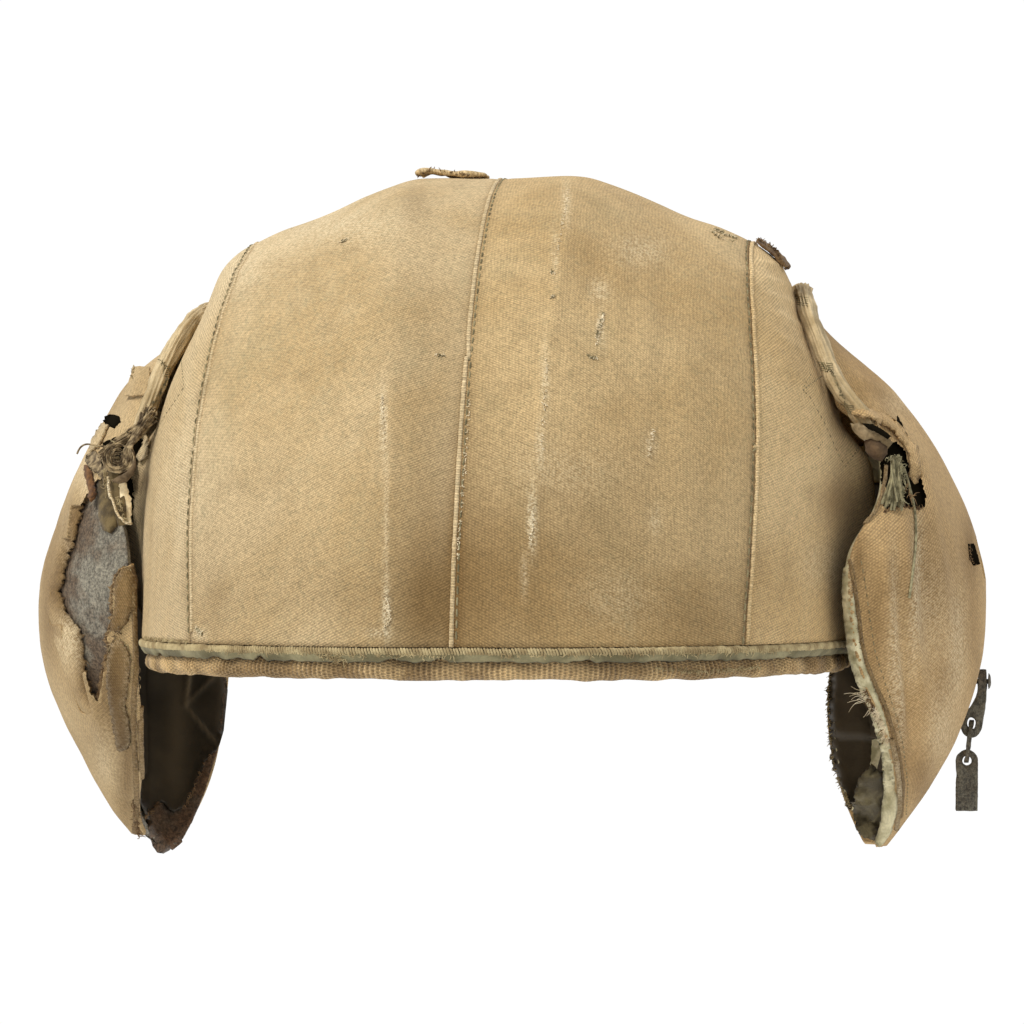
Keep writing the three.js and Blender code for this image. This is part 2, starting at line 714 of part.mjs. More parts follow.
// The torn tab of cloth that has lifted beside the middle seam.
function crownTab() {
  const columns = [
    { x: -25.5, lift: 1.2 },
    { x: -22.5, lift: 2.3 },
    { x: -18, lift: 1.1 },
    { x: -12, lift: 0.5 },
    { x: -5, lift: 0.3 },
  ];
  const rows = [-7, -2, 4, 9];
  const grid = rows.map((y) => columns.map(({ x, lift }) => new THREE.Vector3(x, y, crownTop(x, y) + lift)));
  return sheet(grid, 0, 1, 1);
}

// The frayed lip of cloth outside the left side seam, at the top of the shoulder.
function seamLip() {
  const heights = [117.3, 114.9, 112.3, 110.1];
  const columns = [-12, -6, 0, 6, 12];
  const grid = heights.map((height, i) =>
    columns.map((y, j) => {
      const reach = 0.82 - 0.05 * i;
      const { point, outward } = sidePoint(y * reach, height);
      const swell = 1.7 + 0.8 * Math.sin((Math.PI * j) / (columns.length - 1));
      return point.addScaledVector(outward, swell);
    }),
  );
  return sheet(grid, 0, 1, 1);
}

// The strap hanger on the left flap

// A flat piece in the plane seen from the front, with its middle at y.
function frontPlate(shape, y, depth) {
  const geometry = new THREE.ExtrudeGeometry(shape, { depth, bevelEnabled: false, curveSegments: 6 });
  return geometry.rotateX(Math.PI / 2).translate(0, y + depth / 2, 0);
}

// How far out the left flap's cover stands at the rivet.
function rivetFaceX() {
  let before = 0;
  let after = 1;
  for (let i = 0; i < 20; i += 1) {
    const along = (before + after) / 2;
    const isBefore = flapPoint(leftCuts, RIVET_HEIGHT, along, 1).y < HANGER_Y;
    before = isBefore ? along : before;
    after = isBefore ? after : along;
  }
  return flapPoint(leftCuts, RIVET_HEIGHT, before, 1).x;
}

function strapRivet() {
  const base = 0.35;
  const barFront = 4.6;
  const profile = [
    new THREE.Vector2(0, base),
    new THREE.Vector2(RIVET_SHANK, base),
    new THREE.Vector2(RIVET_SHANK, barFront),
    new THREE.Vector2(RIVET_RADIUS, barFront),
    new THREE.Vector2(RIVET_RADIUS * 0.8, barFront + 0.7),
    new THREE.Vector2(0, barFront + 1),
  ];
  return new THREE.LatheGeometry(profile, 12).rotateZ(-Math.PI / 2).translate(rivetFaceX(), HANGER_Y, RIVET_HEIGHT);
}

// The bar that hangs from the rivet and widens to an eye at its foot.
function strapBar() {
  const left = rivetFaceX() + 1.6;
  const eye = { x: left - 2.1, z: -26.8, wide: 3.3, tall: 4.4, hole: 1.5 };
  const shape = new THREE.Shape()
    .moveTo(left, -10.5)
    .lineTo(left + 2.4, -10.5)
    .lineTo(left + 2.6, -19.5)
    .lineTo(eye.x + eye.wide, eye.z);
  shape.absellipse(eye.x, eye.z, eye.wide, eye.tall, 0, -Math.PI * 1.2, true);
  shape.lineTo(left, -19.5);
  shape.holes.push(new THREE.Path().absellipse(eye.x, eye.z, eye.hole, eye.hole * 1.3, 0, Math.PI * 2));
  const bar = solidOf(frontPlate(shape, HANGER_Y, BAR_DEPTH));
  const drill = new THREE.CylinderGeometry(RIVET_SHANK + 0.3, RIVET_SHANK + 0.3, 12, 12)
    .rotateZ(Math.PI / 2)
    .translate(left, HANGER_Y, RIVET_HEIGHT);
  return geometryOf(bar.subtract(solidOf(drill)));
}

// The flat link through the bar's eye, seen edge-on from the front.
function strapLink() {
  const outline = (half, top, foot) => {
    const path = new THREE.Shape();
    path.absarc(0, top, half, 0, Math.PI);
    path.absarc(0, foot, half, Math.PI, 2 * Math.PI);
    return path;
  };
  const inner = BAR_DEPTH / 2 + 0.7;
  const top = -29.7;
  const foot = -34.9;
  const link = outline(inner + LINK_WIRE, top, foot);
  link.holes.push(outline(inner, top, foot));
  return new THREE.ExtrudeGeometry(link, { depth: LINK_WIRE, bevelEnabled: false, curveSegments: 6 })
    .rotateX(Math.PI / 2)
    .rotateZ(Math.PI / 2)
    .translate(-LINK_WIRE / 2, 0, -top)
    .rotateY(LINK_LEAN)
    .translate(rivetFaceX() - 0.9, HANGER_Y, top);
}

// The hook: a sheet folded back on itself, with a round eye at its top.
function strapHook() {
  const x = rivetFaceX() - 1.9;
  const eyeHeight = -38.1;
  const half = 3.3;
  const foot = -53.5;
  const leafTop = -40.5;
  const leaf = new THREE.Shape()
    .moveTo(x - half, leafTop)
    .lineTo(x - half, foot)
    .lineTo(x + half, foot)
    .lineTo(x + half, leafTop)
    .lineTo(x + half, eyeHeight)
    .absarc(x, eyeHeight, half, 0, Math.PI);
  leaf.holes.push(new THREE.Path().absarc(x, eyeHeight, 1.5, 0, Math.PI * 2));
  const fold = new THREE.Shape()
    .moveTo(-STEEL_SHEET / 2, foot)
    .lineTo(1.5 * STEEL_SHEET + 1, foot)
    .lineTo(1.5 * STEEL_SHEET + 1, leafTop - 2)
    .lineTo(STEEL_SHEET / 2 + 1, leafTop - 2)
    .lineTo(STEEL_SHEET / 2 + 1, foot + STEEL_SHEET)
    .lineTo(-STEEL_SHEET / 2, foot + STEEL_SHEET);
  const back = new THREE.ExtrudeGeometry(fold, { depth: 2 * half, bevelEnabled: false })
    .rotateX(Math.PI / 2)
    .rotateZ(Math.PI / 2)
    .translate(x - half, HANGER_Y, 0);
  return geometryOf(solidOf(frontPlate(leaf, HANGER_Y, STEEL_SHEET)).add(solidOf(back)));
}

// Colours and finishes

function finish(color, roughness = 0.95, metalness = 0) {
  return new THREE.MeshStandardMaterial({ color, roughness, metalness });
}

const twill = finish(0xb99a6b);
const flapTwill = finish(0xac9066);
const rollCloth = finish(0xad9569);
const bindingCord = finish(0xc9bd98);
const knit = finish(0x735b3b);
const felt = finish(0x8f8a6c);
const darkLining = finish(0x2f2619);
const bareSteel = finish(0x6b5a48, 0.6, 0.7);
const foldedLining = finish(0x7a6f4d);
const rustyCloth = finish(0x9a7146);
const frayedCord = finish(0x8c7f66);
const strapSteel = finish(0x4a4434, 0.55, 0.8);

// The helmet

const leftCuts = seatedCuts(leftFlapCuts, 1);
const rightCuts = seatedCuts(rightFlapCuts, -1);
const leftHalf = crownPanels(1);
const rightHalf = crownPanels(-1);

const helmet = new THREE.Group();
helmet.add(
  meshOf("top_panel_left", leftHalf.top, twill),
  meshOf("top_panel_right", rightHalf.top, twill),
  meshOf("side_panel_left", leftHalf.flank, twill),
  meshOf("side_panel_right", rightHalf.flank, twill),
  meshOf("rim_binding", rimBinding(), bindingCord),
  meshOf("sweat_band", sweatBand(), knit),
  meshOf("arch_roll_left", archRoll(1), rollCloth),
  meshOf("arch_roll_right", archRoll(-1), rollCloth),
  meshOf("flap_cover_left", flapLayer(leftCuts, 1, layers.leftCover, leftTears), flapTwill),
  meshOf("flap_pad_left", flapLayer(leftCuts, 1, layers.leftPad), felt),
  meshOf("flap_lining_left", flapLayer(leftCuts, 1, layers.leftLining, leftHem), darkLining),
  meshOf("flap_cover_right", flapLayer(rightCuts, -1, layers.rightCover, rightWindow), flapTwill),
  meshOf("flap_plate_right", flapLayer(rightCuts, -1, layers.rightPlate), bareSteel),
  meshOf("flap_lining_right", flapLayer(rightCuts, -1, layers.rightLining, rightHem), darkLining),
  meshOf("flap_patch_right", flapPatch(), flapTwill),
  meshOf("lining_fold_left", liningFold(), foldedLining),
  meshOf("hinge_tab_right", hingeTab(), rollCloth),
  meshOf("crown_tab", crownTab(), twill),
  meshOf("seam_lip_left", seamLip(), rustyCloth),
  meshOf("strap_rivet", strapRivet(), strapSteel),
  meshOf("strap_bar", strapBar(), strapSteel),
  meshOf("strap_link", strapLink(), strapSteel),
  meshOf("strap_hook", strapHook(), strapSteel),
);
for (const [name, strandOf] of Object.entries(hingeStrands)) {
  helmet.add(meshOf(name, hingeStrand(strandOf), frayedCord));
}

export default helmet;
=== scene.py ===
# %% [markdown]
# # A cloth-covered flak helmet
#
# The imported model already has the helmet's true form: four crown panels, a rim, two rolls over the
# ears and two armoured flaps. This lesson dresses it. Each cloth solid is copied, smoothed and
# creased as worn twill is, and then gets its seams, stitches, frays, rust, dirt and painted shade.

# %% The imported frame
import math
import random

import bmesh
import bpy
import numpy as np
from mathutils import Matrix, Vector, noise
from mathutils.bvhtree import BVHTree
from mathutils.geometry import delaunay_2d_cdt
from mathutils.kdtree import KDTree


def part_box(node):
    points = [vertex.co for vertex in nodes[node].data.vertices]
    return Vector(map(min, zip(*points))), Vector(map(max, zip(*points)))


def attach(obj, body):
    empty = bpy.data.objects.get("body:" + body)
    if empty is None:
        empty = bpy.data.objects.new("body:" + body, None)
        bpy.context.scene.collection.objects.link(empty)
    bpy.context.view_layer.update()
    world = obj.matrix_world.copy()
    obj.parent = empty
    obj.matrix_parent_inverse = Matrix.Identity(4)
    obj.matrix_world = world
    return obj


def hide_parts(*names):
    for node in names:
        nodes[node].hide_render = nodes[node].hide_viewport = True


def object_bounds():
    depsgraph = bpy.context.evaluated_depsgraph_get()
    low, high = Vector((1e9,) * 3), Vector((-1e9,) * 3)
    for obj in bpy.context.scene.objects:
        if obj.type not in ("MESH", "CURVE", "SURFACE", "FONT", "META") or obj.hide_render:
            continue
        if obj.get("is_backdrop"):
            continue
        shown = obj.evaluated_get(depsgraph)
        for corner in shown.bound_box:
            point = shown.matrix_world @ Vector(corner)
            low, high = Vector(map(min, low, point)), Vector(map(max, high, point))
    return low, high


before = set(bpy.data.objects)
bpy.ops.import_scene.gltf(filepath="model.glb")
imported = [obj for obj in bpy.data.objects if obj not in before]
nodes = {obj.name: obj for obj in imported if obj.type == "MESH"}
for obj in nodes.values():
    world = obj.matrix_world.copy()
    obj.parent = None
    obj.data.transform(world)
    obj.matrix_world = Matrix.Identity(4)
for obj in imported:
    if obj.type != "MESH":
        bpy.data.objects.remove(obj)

MM = 0.001
cad_box = [list(corner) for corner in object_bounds()]
print("The frame holds", len(nodes), "nodes in a box from", cad_box[0], "to", cad_box[1])

# %% [markdown]
# ## Where the photograph was taken from
#
# The middle seam bends to one side and one flap shows more of its inside, so the camera stood a
# little towards the wearer's left and level with the crown. A long lens far away gives the same
# flat view. The same numbers also say where a mark in the photograph lies on the helmet: a line of
# sight goes through its pixel and lands on the cloth.

# %% The camera and its lines of sight
PHOTO_SIDE = 1024  # pixels
PIXEL = 0.302 * MM  # what a pixel spans in the plane through the rim's middle
CAMERA_DISTANCE = 1.5
CAMERA_TURN = math.radians(6.3)
AIM_ACROSS = 2.7 * MM
AIM_HEIGHT = 37.4 * MM
SENSOR_MM = 36.0

across = Vector((math.cos(CAMERA_TURN), math.sin(CAMERA_TURN), 0))
ahead = Vector((-math.sin(CAMERA_TURN), math.cos(CAMERA_TURN), 0))
upward = Vector((0, 0, 1))
aim = across * AIM_ACROSS + upward * AIM_HEIGHT
eye = aim - ahead * CAMERA_DISTANCE


def added(name, data):
    """A new object in the scene."""
    item = bpy.data.objects.new(name, data)
    bpy.context.scene.collection.objects.link(item)
    return item


camera_data = bpy.data.cameras.new("camera")
camera_data.sensor_width = SENSOR_MM
camera_data.lens = SENSOR_MM * CAMERA_DISTANCE / (PHOTO_SIDE * PIXEL)
camera_data.clip_end = 20
camera = added("camera", camera_data)
camera.location = eye
camera.rotation_euler = ahead.to_track_quat("-Z", "Y").to_euler()
bpy.context.scene.camera = camera


def sight(u, v):
    """The direction of the line of sight through a pixel."""
    right = (u - PHOTO_SIDE / 2) * PIXEL
    down = (v - PHOTO_SIDE / 2) * PIXEL
    return (ahead * CAMERA_DISTANCE + across * right - upward * down).normalized()


def at_depth(u, v, y):
    """The point of a line of sight that lies at a depth y of the helmet."""
    way = sight(u, v)
    return eye + way * ((y - eye.y) / way.y)


def pixels_of(points):
    """Where points of the helmet show in the photograph, one row of u, v for each."""
    offset = np.asarray(points) - np.array(eye)
    depth = offset @ np.array(ahead)
    u = PHOTO_SIDE / 2 + CAMERA_DISTANCE / PIXEL * (offset @ np.array(across)) / depth
    v = PHOTO_SIDE / 2 - CAMERA_DISTANCE / PIXEL * (offset @ np.array(upward)) / depth
    return np.stack([u, v], axis=1)


print("The lens is", round(camera_data.lens, 1), "mm long")

# %% [markdown]
# ## Shader maths as Python
#
# A finish is a tree of nodes. Wrapping each socket in a small class lets the tree be written as
# sums, and one method adds every other kind of node.

# %% The finish builder


class Socket:
    """An output of a node, on which Python's operators add Math nodes."""

    def __init__(self, maker, output):
        self.maker = maker
        self.output = output

    def maths(self, operation, *others):
        sockets = dict(enumerate((self, *others)))
        return self.maker.node("ShaderNodeMath", sockets, operation=operation)

    def __add__(self, other):
        return self.maths("ADD", other)

    def __sub__(self, other):
        return self.maths("SUBTRACT", other)

    def __rsub__(self, other):
        return self * -1 + other

    def __mul__(self, other):
        return self.maths("MULTIPLY", other)

    def __truediv__(self, other):
        return self.maths("DIVIDE", other)

    __radd__ = __add__
    __rmul__ = __mul__

    def wave(self):
        """A wave between 0 and 1 that repeats as the socket grows by 1."""
        return (self * (2 * math.pi)).maths("SINE") * 0.5 + 0.5

    def step(self, low, high):
        """0 below low, 1 above high and smooth between them."""
        sockets = {"Value": self, "From Min": low, "From Max": high}
        return self.maker.node("ShaderNodeMapRange", sockets, interpolation_type="SMOOTHSTEP")


class Maker:
    """Adds nodes to a tree."""

    def __init__(self, tree):
        self.tree = tree

    def node(self, kind, sockets=None, output=0, stops=None, **settings):
        """Adds a node: its settings first, then its sockets' values or links."""
        node = self.tree.nodes.new(kind)
        for key, value in settings.items():
            setattr(node, key, value)
        if stops:
            ramp = node.color_ramp
            while len(ramp.elements) < len(stops):
                ramp.elements.new(0.5)
            for element, (place, colour) in zip(ramp.elements, stops):
                element.position = place
                element.color = (*colour, 1)
        for key, value in (sockets or {}).items():
            socket = node.inputs[key]
            if isinstance(value, Socket):
                self.tree.links.new(value.output, socket)
            elif isinstance(value, tuple) and socket.type == "RGBA":
                socket.default_value = (*value, 1)
            else:
                socket.default_value = value
        return Socket(self, node.outputs[output])


class Finish(Maker):
    """A material that is being built. Its shader is the usual Principled one."""

    def __init__(self, name, roughness=0.9, metallic=0.0, specular=0.3, sheen=0.0):
        self.material = bpy.data.materials.new(name)
        self.material.use_nodes = True
        super().__init__(self.material.node_tree)
        self.shader = self.tree.nodes["Principled BSDF"]
        self.shader.inputs["Roughness"].default_value = roughness
        self.shader.inputs["Metallic"].default_value = metallic
        self.shader.inputs["Specular IOR Level"].default_value = specular
        self.shader.inputs["Sheen Weight"].default_value = sheen
        self.shader.inputs["Sheen Roughness"].default_value = 0.6

    def place(self):
        return self.node("ShaderNodeTexCoord", output=3)

    def cloth(self):
        """The piece's own cloth map, in metres across and along it."""
        chart = self.node("ShaderNodeUVMap", uv_map="cloth")
        across_it = self.node("ShaderNodeSeparateXYZ", {0: chart}, 0)
        along_it = self.node("ShaderNodeSeparateXYZ", {0: chart}, 1)
        return across_it, along_it

    def mark(self, name):
        """A number that the piece keeps for each vertex."""
        return self.node("ShaderNodeAttribute", output=2, attribute_name=name)

    def noise(self, size, detail=3, roughness=0.55, stretch=(1, 1, 1), warp=0):
        """Noise whose blots are about size metres wide, squeezed by stretch."""
        scaled = self.node("ShaderNodeMapping", {"Vector": self.place(), "Scale": stretch})
        return self.noise_at(scaled, 1 / size, detail, roughness, warp)

    def noise_at(self, vector, scale, detail=2, roughness=0.5, warp=0):
        sockets = {
            "Vector": vector,
            "Scale": scale,
            "Detail": detail,
            "Roughness": roughness,
            "Distortion": warp,
        }
        return self.node("ShaderNodeTexNoise", sockets)

    def yarns(self, along, long, over, wide):
        """Noise drawn out into yarns: long metres long and wide metres wide."""
        spot = self.node("ShaderNodeCombineXYZ", {0: along / long, 1: over / wide})
        return self.noise_at(spot, 1)

    def mix(self, factor, first, second, blend="MIX"):
        sockets = {0: factor, 6: first, 7: second}
        return self.node("ShaderNodeMix", sockets, 2, data_type="RGBA", blend_type=blend)

    def dim(self, colour, shade):
        """A colour times a shade from 0 to more than 1."""
        grey = self.node("ShaderNodeCombineColor", {0: shade, 1: shade, 2: shade})
        return self.mix(1.0, colour, grey, "MULTIPLY")

    def colour(self, value):
        self.tree.links.new(value.output, self.shader.inputs["Base Color"])

    def roughness(self, value):
        self.tree.links.new(value.output, self.shader.inputs["Roughness"])

    def metallic(self, value):
        self.tree.links.new(value.output, self.shader.inputs["Metallic"])

    def bump(self, height, depth):
        """A relief that is depth metres deep where height goes from 0 to 1."""
        bumped = self.node("ShaderNodeBump", {"Height": height, "Distance": depth})
        self.tree.links.new(bumped.output, self.shader.inputs["Normal"])


# %% [markdown]
# ## A pale room
#
# The photograph has a plain white ground and soft light from the upper left. A sky that is white
# near the horizon and dimmer above gives the ground, and one large lamp gives the modelling. The
# floor lies well below the flaps, because a head holds the helmet up, and it isn't part of the
# object. Standard colour keeps the cloth as warm as it is.

# %% Floor, sky and lamps
FLOOR_DROP = 0.25
FLOOR_SIDE = 2.6

bpy.context.scene.view_settings.view_transform = "Standard"


def lamp(name, place, size, power, colour=(1, 1, 1)):
    """A square area lamp that faces the middle of the helmet."""
    data = bpy.data.lights.new(name, "AREA")
    data.size = size
    data.energy = power
    data.color = colour
    item = added(name, data)
    item.location = place
    item.rotation_euler = (aim - Vector(place)).to_track_quat("-Z", "Y").to_euler()


lamp("key_lamp", (-1.25, -1.05, 2.0), 0.7, 46, (1, 0.985, 0.95))
lamp("fill_lamp", (1.6, -1.9, 0.6), 1.6, 5, (0.97, 0.985, 1))
lamp("back_lamp", (0.3, 1.6, 1.4), 1.2, 12)

sky = bpy.data.worlds.new("white_room")
sky.use_nodes = True
bpy.context.scene.world = sky
sky_maker = Maker(sky.node_tree)
heading = sky_maker.node("ShaderNodeTexCoord")
height = sky_maker.node("ShaderNodeSeparateXYZ", {0: heading}, 2)
sky_stops = [
    (0.0, (0.12, 0.12, 0.12)),
    (0.3, (0.16, 0.16, 0.16)),
    (0.34, (1.02, 1.02, 1.02)),
    (0.555, (1.02, 1.02, 1.02)),
    (0.59, (0.42, 0.43, 0.45)),
    (1.0, (0.85, 0.86, 0.88)),
]
glow = sky_maker.node("ShaderNodeValToRGB", {0: height * 0.5 + 0.5}, stops=sky_stops)
background = sky.node_tree.nodes["Background"]
sky.node_tree.links.new(glow.output, background.inputs["Color"])

floor_finish = Finish("pale_floor", roughness=1.0)
floor_finish.shader.inputs["Base Color"].default_value = (0.86, 0.86, 0.86, 1)
bpy.ops.object.select_all(action="DESELECT")
lowest = cad_box[0][2] - FLOOR_DROP
bpy.ops.mesh.primitive_plane_add(size=FLOOR_SIDE, location=(0, 0, lowest))
floor = bpy.context.object
floor.name = "floor"
floor.data.materials.append(floor_finish.material)
floor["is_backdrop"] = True
print("The floor lies", round(-lowest / MM), "mm below the rim")

# %% [markdown]
# ## Twill
#
# Twill shows fine slanting ribs, a yarn over a yarn. They lean one way on one half of the crown and
# the other way on the other half, because the two halves are cut as a pair. The ribs follow the
# cloth, so they read the piece's own map, while dirt and fading read its place on the helmet.

# %% The twill finish
TWILL_PITCH = 0.7 * MM
DASH = 1.5  # a float is this many rib pitches long
TWILL_RELIEF = 0.2 * MM

PALE_TAN = (0.66, 0.50, 0.28)
TAN = (0.54, 0.385, 0.19)
BROWN = (0.21, 0.13, 0.05)
DUST = (0.34, 0.295, 0.165)
BARE_YARN = (0.76, 0.66, 0.45)


def shaded(colour, tint):
    """A colour made lighter or darker by a share."""
    return tuple(tint * part for part in colour)


def twill(name, lean, tint=(1, 1, 1), pale=0.0, dusty=1.0):
    """Worn tan twill. lean is the slope of its ribs in degrees, pale and dusty go from 0 to 1."""
    pale_tan, tan, brown, dirt = [
        tuple(part * share for part, share in zip(colour, tint)) for colour in (PALE_TAN, TAN, BROWN, DUST)
    ]
    finish = Finish(name, roughness=0.95, specular=0.12, sheen=0.06)
    u, v = finish.cloth()
    slope = math.radians(lean)
    drift = finish.noise(0.016, 2) * (2.2 * TWILL_PITCH)
    over = v * math.cos(slope) - u * math.sin(slope) + drift
    along = u * math.cos(slope) + v * math.sin(slope)
    rib = over / TWILL_PITCH
    row = rib.maths("FLOOR")
    floats = (along / (DASH * TWILL_PITCH) + row * 0.37 + drift / TWILL_PITCH).wave()
    weave = rib.wave() * (floats * 0.75 + 0.25)
    slubs = finish.yarns(along, 0.012, over, 0.6 * TWILL_PITCH)
    cross_slubs = finish.yarns(over, 0.006, along, 0.9 * TWILL_PITCH)
    grain = finish.noise(0.0009, 3, 0.75).step(0.32, 0.68)
    speck = finish.noise(0.0016, 3, 0.8)
    broad = finish.noise(0.08, 3, warp=0.8)
    blots = finish.noise(0.02, 4, 0.62)
    bands = finish.noise(0.011, 3, 0.6, stretch=(1, 1, 0.16))
    dust = finish.noise(0.03, 3, 0.6, stretch=(1.4, 1.4, 0.5))
    base = finish.mix(broad.step(0.38 - 0.1 * pale, 0.62 - 0.1 * pale), tan, pale_tan)
    base = finish.mix(blots.step(0.5, 0.72) * 0.22, base, brown)
    base = finish.mix(bands.step(0.5, 0.7) * 0.3, base, pale_tan)
    dusted = dust.step(0.5, 0.72) * 0.2 + speck.step(0.5, 0.62) * 0.35
    base = finish.mix(dusted * dusty, base, dirt)
    # Real stains and painted shade both darken the cloth towards brown here.
    base = finish.mix(finish.mark("grime_and_shade"), base, brown)
    ragged = finish.mark("wear_and_sheen") * (grain.step(0.32, 0.62) * 0.8 + 0.2)
    base = finish.mix(ragged, base, BARE_YARN)
    shade = weave * 0.5 + slubs * 0.42 + cross_slubs * 0.25 + grain * 0.34 + 0.3
    finish.colour(finish.dim(base, shade))
    finish.bump(weave * 0.6 + slubs * 0.5 + grain * 0.5, TWILL_RELIEF)
    return finish.material


left_twill = twill("twill_wearers_left", -27, (0.88, 0.83, 0.74))
right_twill = twill("twill_wearers_right", 25, (0.93, 0.92, 0.91), 0.3)
side_left_twill = twill("twill_left_side", 14, (1.07, 1.02, 0.93), dusty=0.7)
side_right_twill = twill("twill_right_side", -14, (0.92, 0.92, 0.92), 0.8, 0.7)
left_flap_twill = twill("twill_left_flap", 38, (0.83, 0.73, 0.60), dusty=0.35)
right_flap_twill = twill("twill_right_flap", 38, (0.90, 0.87, 0.83), dusty=0.35)
hem_twill = twill("twill_hems", 60, (0.41, 0.35, 0.26), dusty=0.3)

# %% [markdown]
# ## The other finishes
#
# Thread, knit, felt, lining and steel are each a few noises at their own scale. Rust is a second
# colour that lies where a noise is high, and it is rougher than the steel.

# %% How thread, knit, lining and steel are made


def thread(name, light, dark, size=0.004):
    """Spun thread or matted cloth: two tones, fine fuzz, and painted shade where creases are marked."""
    finish = Finish(name, roughness=0.95, specular=0.12, sheen=0.08)
    tone = finish.noise(size, 3)
    fuzz = finish.noise(0.0006, 3, 0.7)
    base = finish.mix(tone.step(0.35, 0.66), dark, light)
    # Painted shade darkens the cloth where a piece marks its creases.
    base = finish.mix(finish.mark("crease") * 0.7, base, shaded(dark, 0.6))
    base = finish.mix(finish.mark("wear_and_sheen") * 0.6, base, shaded(light, 1.5))
    # Real stains and painted shade both darken the thread here.
    base = finish.mix(finish.mark("grime_and_shade") * 0.7, base, shaded(dark, 0.6))
    finish.colour(finish.dim(base, fuzz * 0.8 + 0.6))
    finish.bump(fuzz, 0.25 * MM)
    return finish.material


KNIT_PITCH = 1.47 * MM
KNIT_ROW = 0.95 * MM


def knit(name, light, dark):
    """Ribbed knitting: columns of loops with painted shade between them, matted in places."""
    finish = Finish(name, roughness=0.97, specular=0.1, sheen=0.1)
    u, v = finish.cloth()
    column = u / KNIT_PITCH
    row = v / KNIT_ROW + column.maths("FLOOR") * 0.5
    wander = finish.noise(0.003, 2) * 0.7
    loops = (column + wander).wave() * 0.55 + (row + wander).wave() * 0.45
    matted = finish.noise(0.012, 4, 0.6)
    fuzz = finish.noise(0.0006, 3, 0.7)
    base = finish.mix(matted.step(0.4, 0.66), dark, light)
    base = finish.mix(finish.noise(0.03, 3).step(0.55, 0.7) * 0.5, base, shaded(light, 1.5))
    # The colour is darker between the loops: painted shade.
    finish.colour(finish.dim(base, loops * 1.0 + fuzz * 0.5 + 0.22))
    finish.bump(loops + fuzz * 0.4, 0.5 * MM)
    return finish.material


def lining(name, light, dark, gloss=0.3):
    """Smooth dark lining, lighter where it is worn and where a shine is painted along its creases."""
    finish = Finish(name, roughness=0.55, specular=gloss)
    tone = finish.noise(0.03, 4)
    grain = finish.noise(0.0012, 2)
    base = finish.mix(tone.step(0.35, 0.7), dark, light)
    # Worn spots and the painted shine along creases make the lining lighter.
    finish.colour(finish.mix(finish.mark("wear_and_sheen"), base, shaded(light, 5)))
    finish.roughness(tone * 0.3 + 0.42)
    finish.bump(grain, 0.08 * MM)
    return finish.material


def steel(name, bare, rust, grey_share, pitting, metal=0.5):
    """Old steel: bare metal, brown rust over it, and pits."""
    finish = Finish(name, roughness=0.5, specular=0.4)
    patches = finish.noise(0.016, 5, 0.62)
    pits = finish.noise(0.0019, 4, 0.75)
    streak = finish.noise(0.006, 4, 0.6, stretch=(2.5, 2.5, 0.5))
    # Real stains and painted shade both push the steel towards rust.
    rusted = (patches + finish.mark("grime_and_shade") * 0.6).step(grey_share - 0.12, grey_share + 0.12)
    base = finish.mix(streak.step(0.3, 0.75), bare, shaded(bare, 0.55))
    base = finish.mix(rusted * 0.9, base, rust)
    base = finish.mix(pits.step(0.5, 0.68) * 0.7, base, shaded(rust, 0.35))
    speck = finish.noise(0.0009, 3, 0.8)
    finish.colour(finish.dim(base, speck.step(0.35, 0.65) * 0.95 + 0.48))
    finish.roughness(rusted * 0.3 + pits * 0.2 + 0.4)
    finish.metallic(metal - rusted * metal * 0.8)
    finish.bump(pits * -1 + 1, pitting)
    return finish.material


# %% Every thread, knit, lining and steel
seam_thread = thread("seam_thread", (0.30, 0.25, 0.13), (0.13, 0.105, 0.05))
pale_thread = thread("overcast_thread", (0.50, 0.40, 0.21), (0.30, 0.22, 0.105))
fray_thread = thread("worn_threads", (0.86, 0.73, 0.50), (0.60, 0.48, 0.29))
tape_cloth = thread("rim_tape_cloth", (0.30, 0.26, 0.14), (0.14, 0.12, 0.06), 0.01)
roll_cloth = thread("roll_cloth", (0.64, 0.50, 0.29), (0.42, 0.31, 0.16), 0.012)
rusty_roll = thread("rusty_roll_end", (0.155, 0.095, 0.048), (0.085, 0.052, 0.026), 0.004)
felt_wool = thread("felt", (0.72, 0.64, 0.40), (0.38, 0.33, 0.18), 0.005)
cord_fibre = thread("frayed_cords", (0.42, 0.31, 0.165), (0.075, 0.048, 0.022), 0.0022)
rusty_cloth = thread("rusty_cloth", (0.25, 0.155, 0.068), (0.10, 0.055, 0.024), 0.003)
folded_cloth = thread("folded_lining_cloth", (0.15, 0.12, 0.06), (0.065, 0.05, 0.025), 0.008)
tongue_cloth = thread("olive_tongue", (0.17, 0.12, 0.05), (0.07, 0.048, 0.021), 0.004)
cream_cloth = thread("cream_scrap", (0.95, 0.79, 0.50), (0.66, 0.50, 0.27), 0.003)
rust_red = thread("rust_red", (0.19, 0.088, 0.028), (0.06, 0.027, 0.011), 0.002)
dark_fold = thread("dark_fold", (0.17, 0.115, 0.06), (0.065, 0.042, 0.021), 0.003)
roll_lip = thread("roll_lip", (0.36, 0.265, 0.145), (0.17, 0.12, 0.06), 0.004)
green_thread = thread("green_thread", (0.36, 0.32, 0.18), (0.13, 0.11, 0.055), 0.002)
knit_wool = knit("brown_knit", (0.50, 0.345, 0.165), (0.28, 0.18, 0.08))
dark_lining = lining("dark_lining", (0.062, 0.046, 0.026), (0.020, 0.015, 0.008))
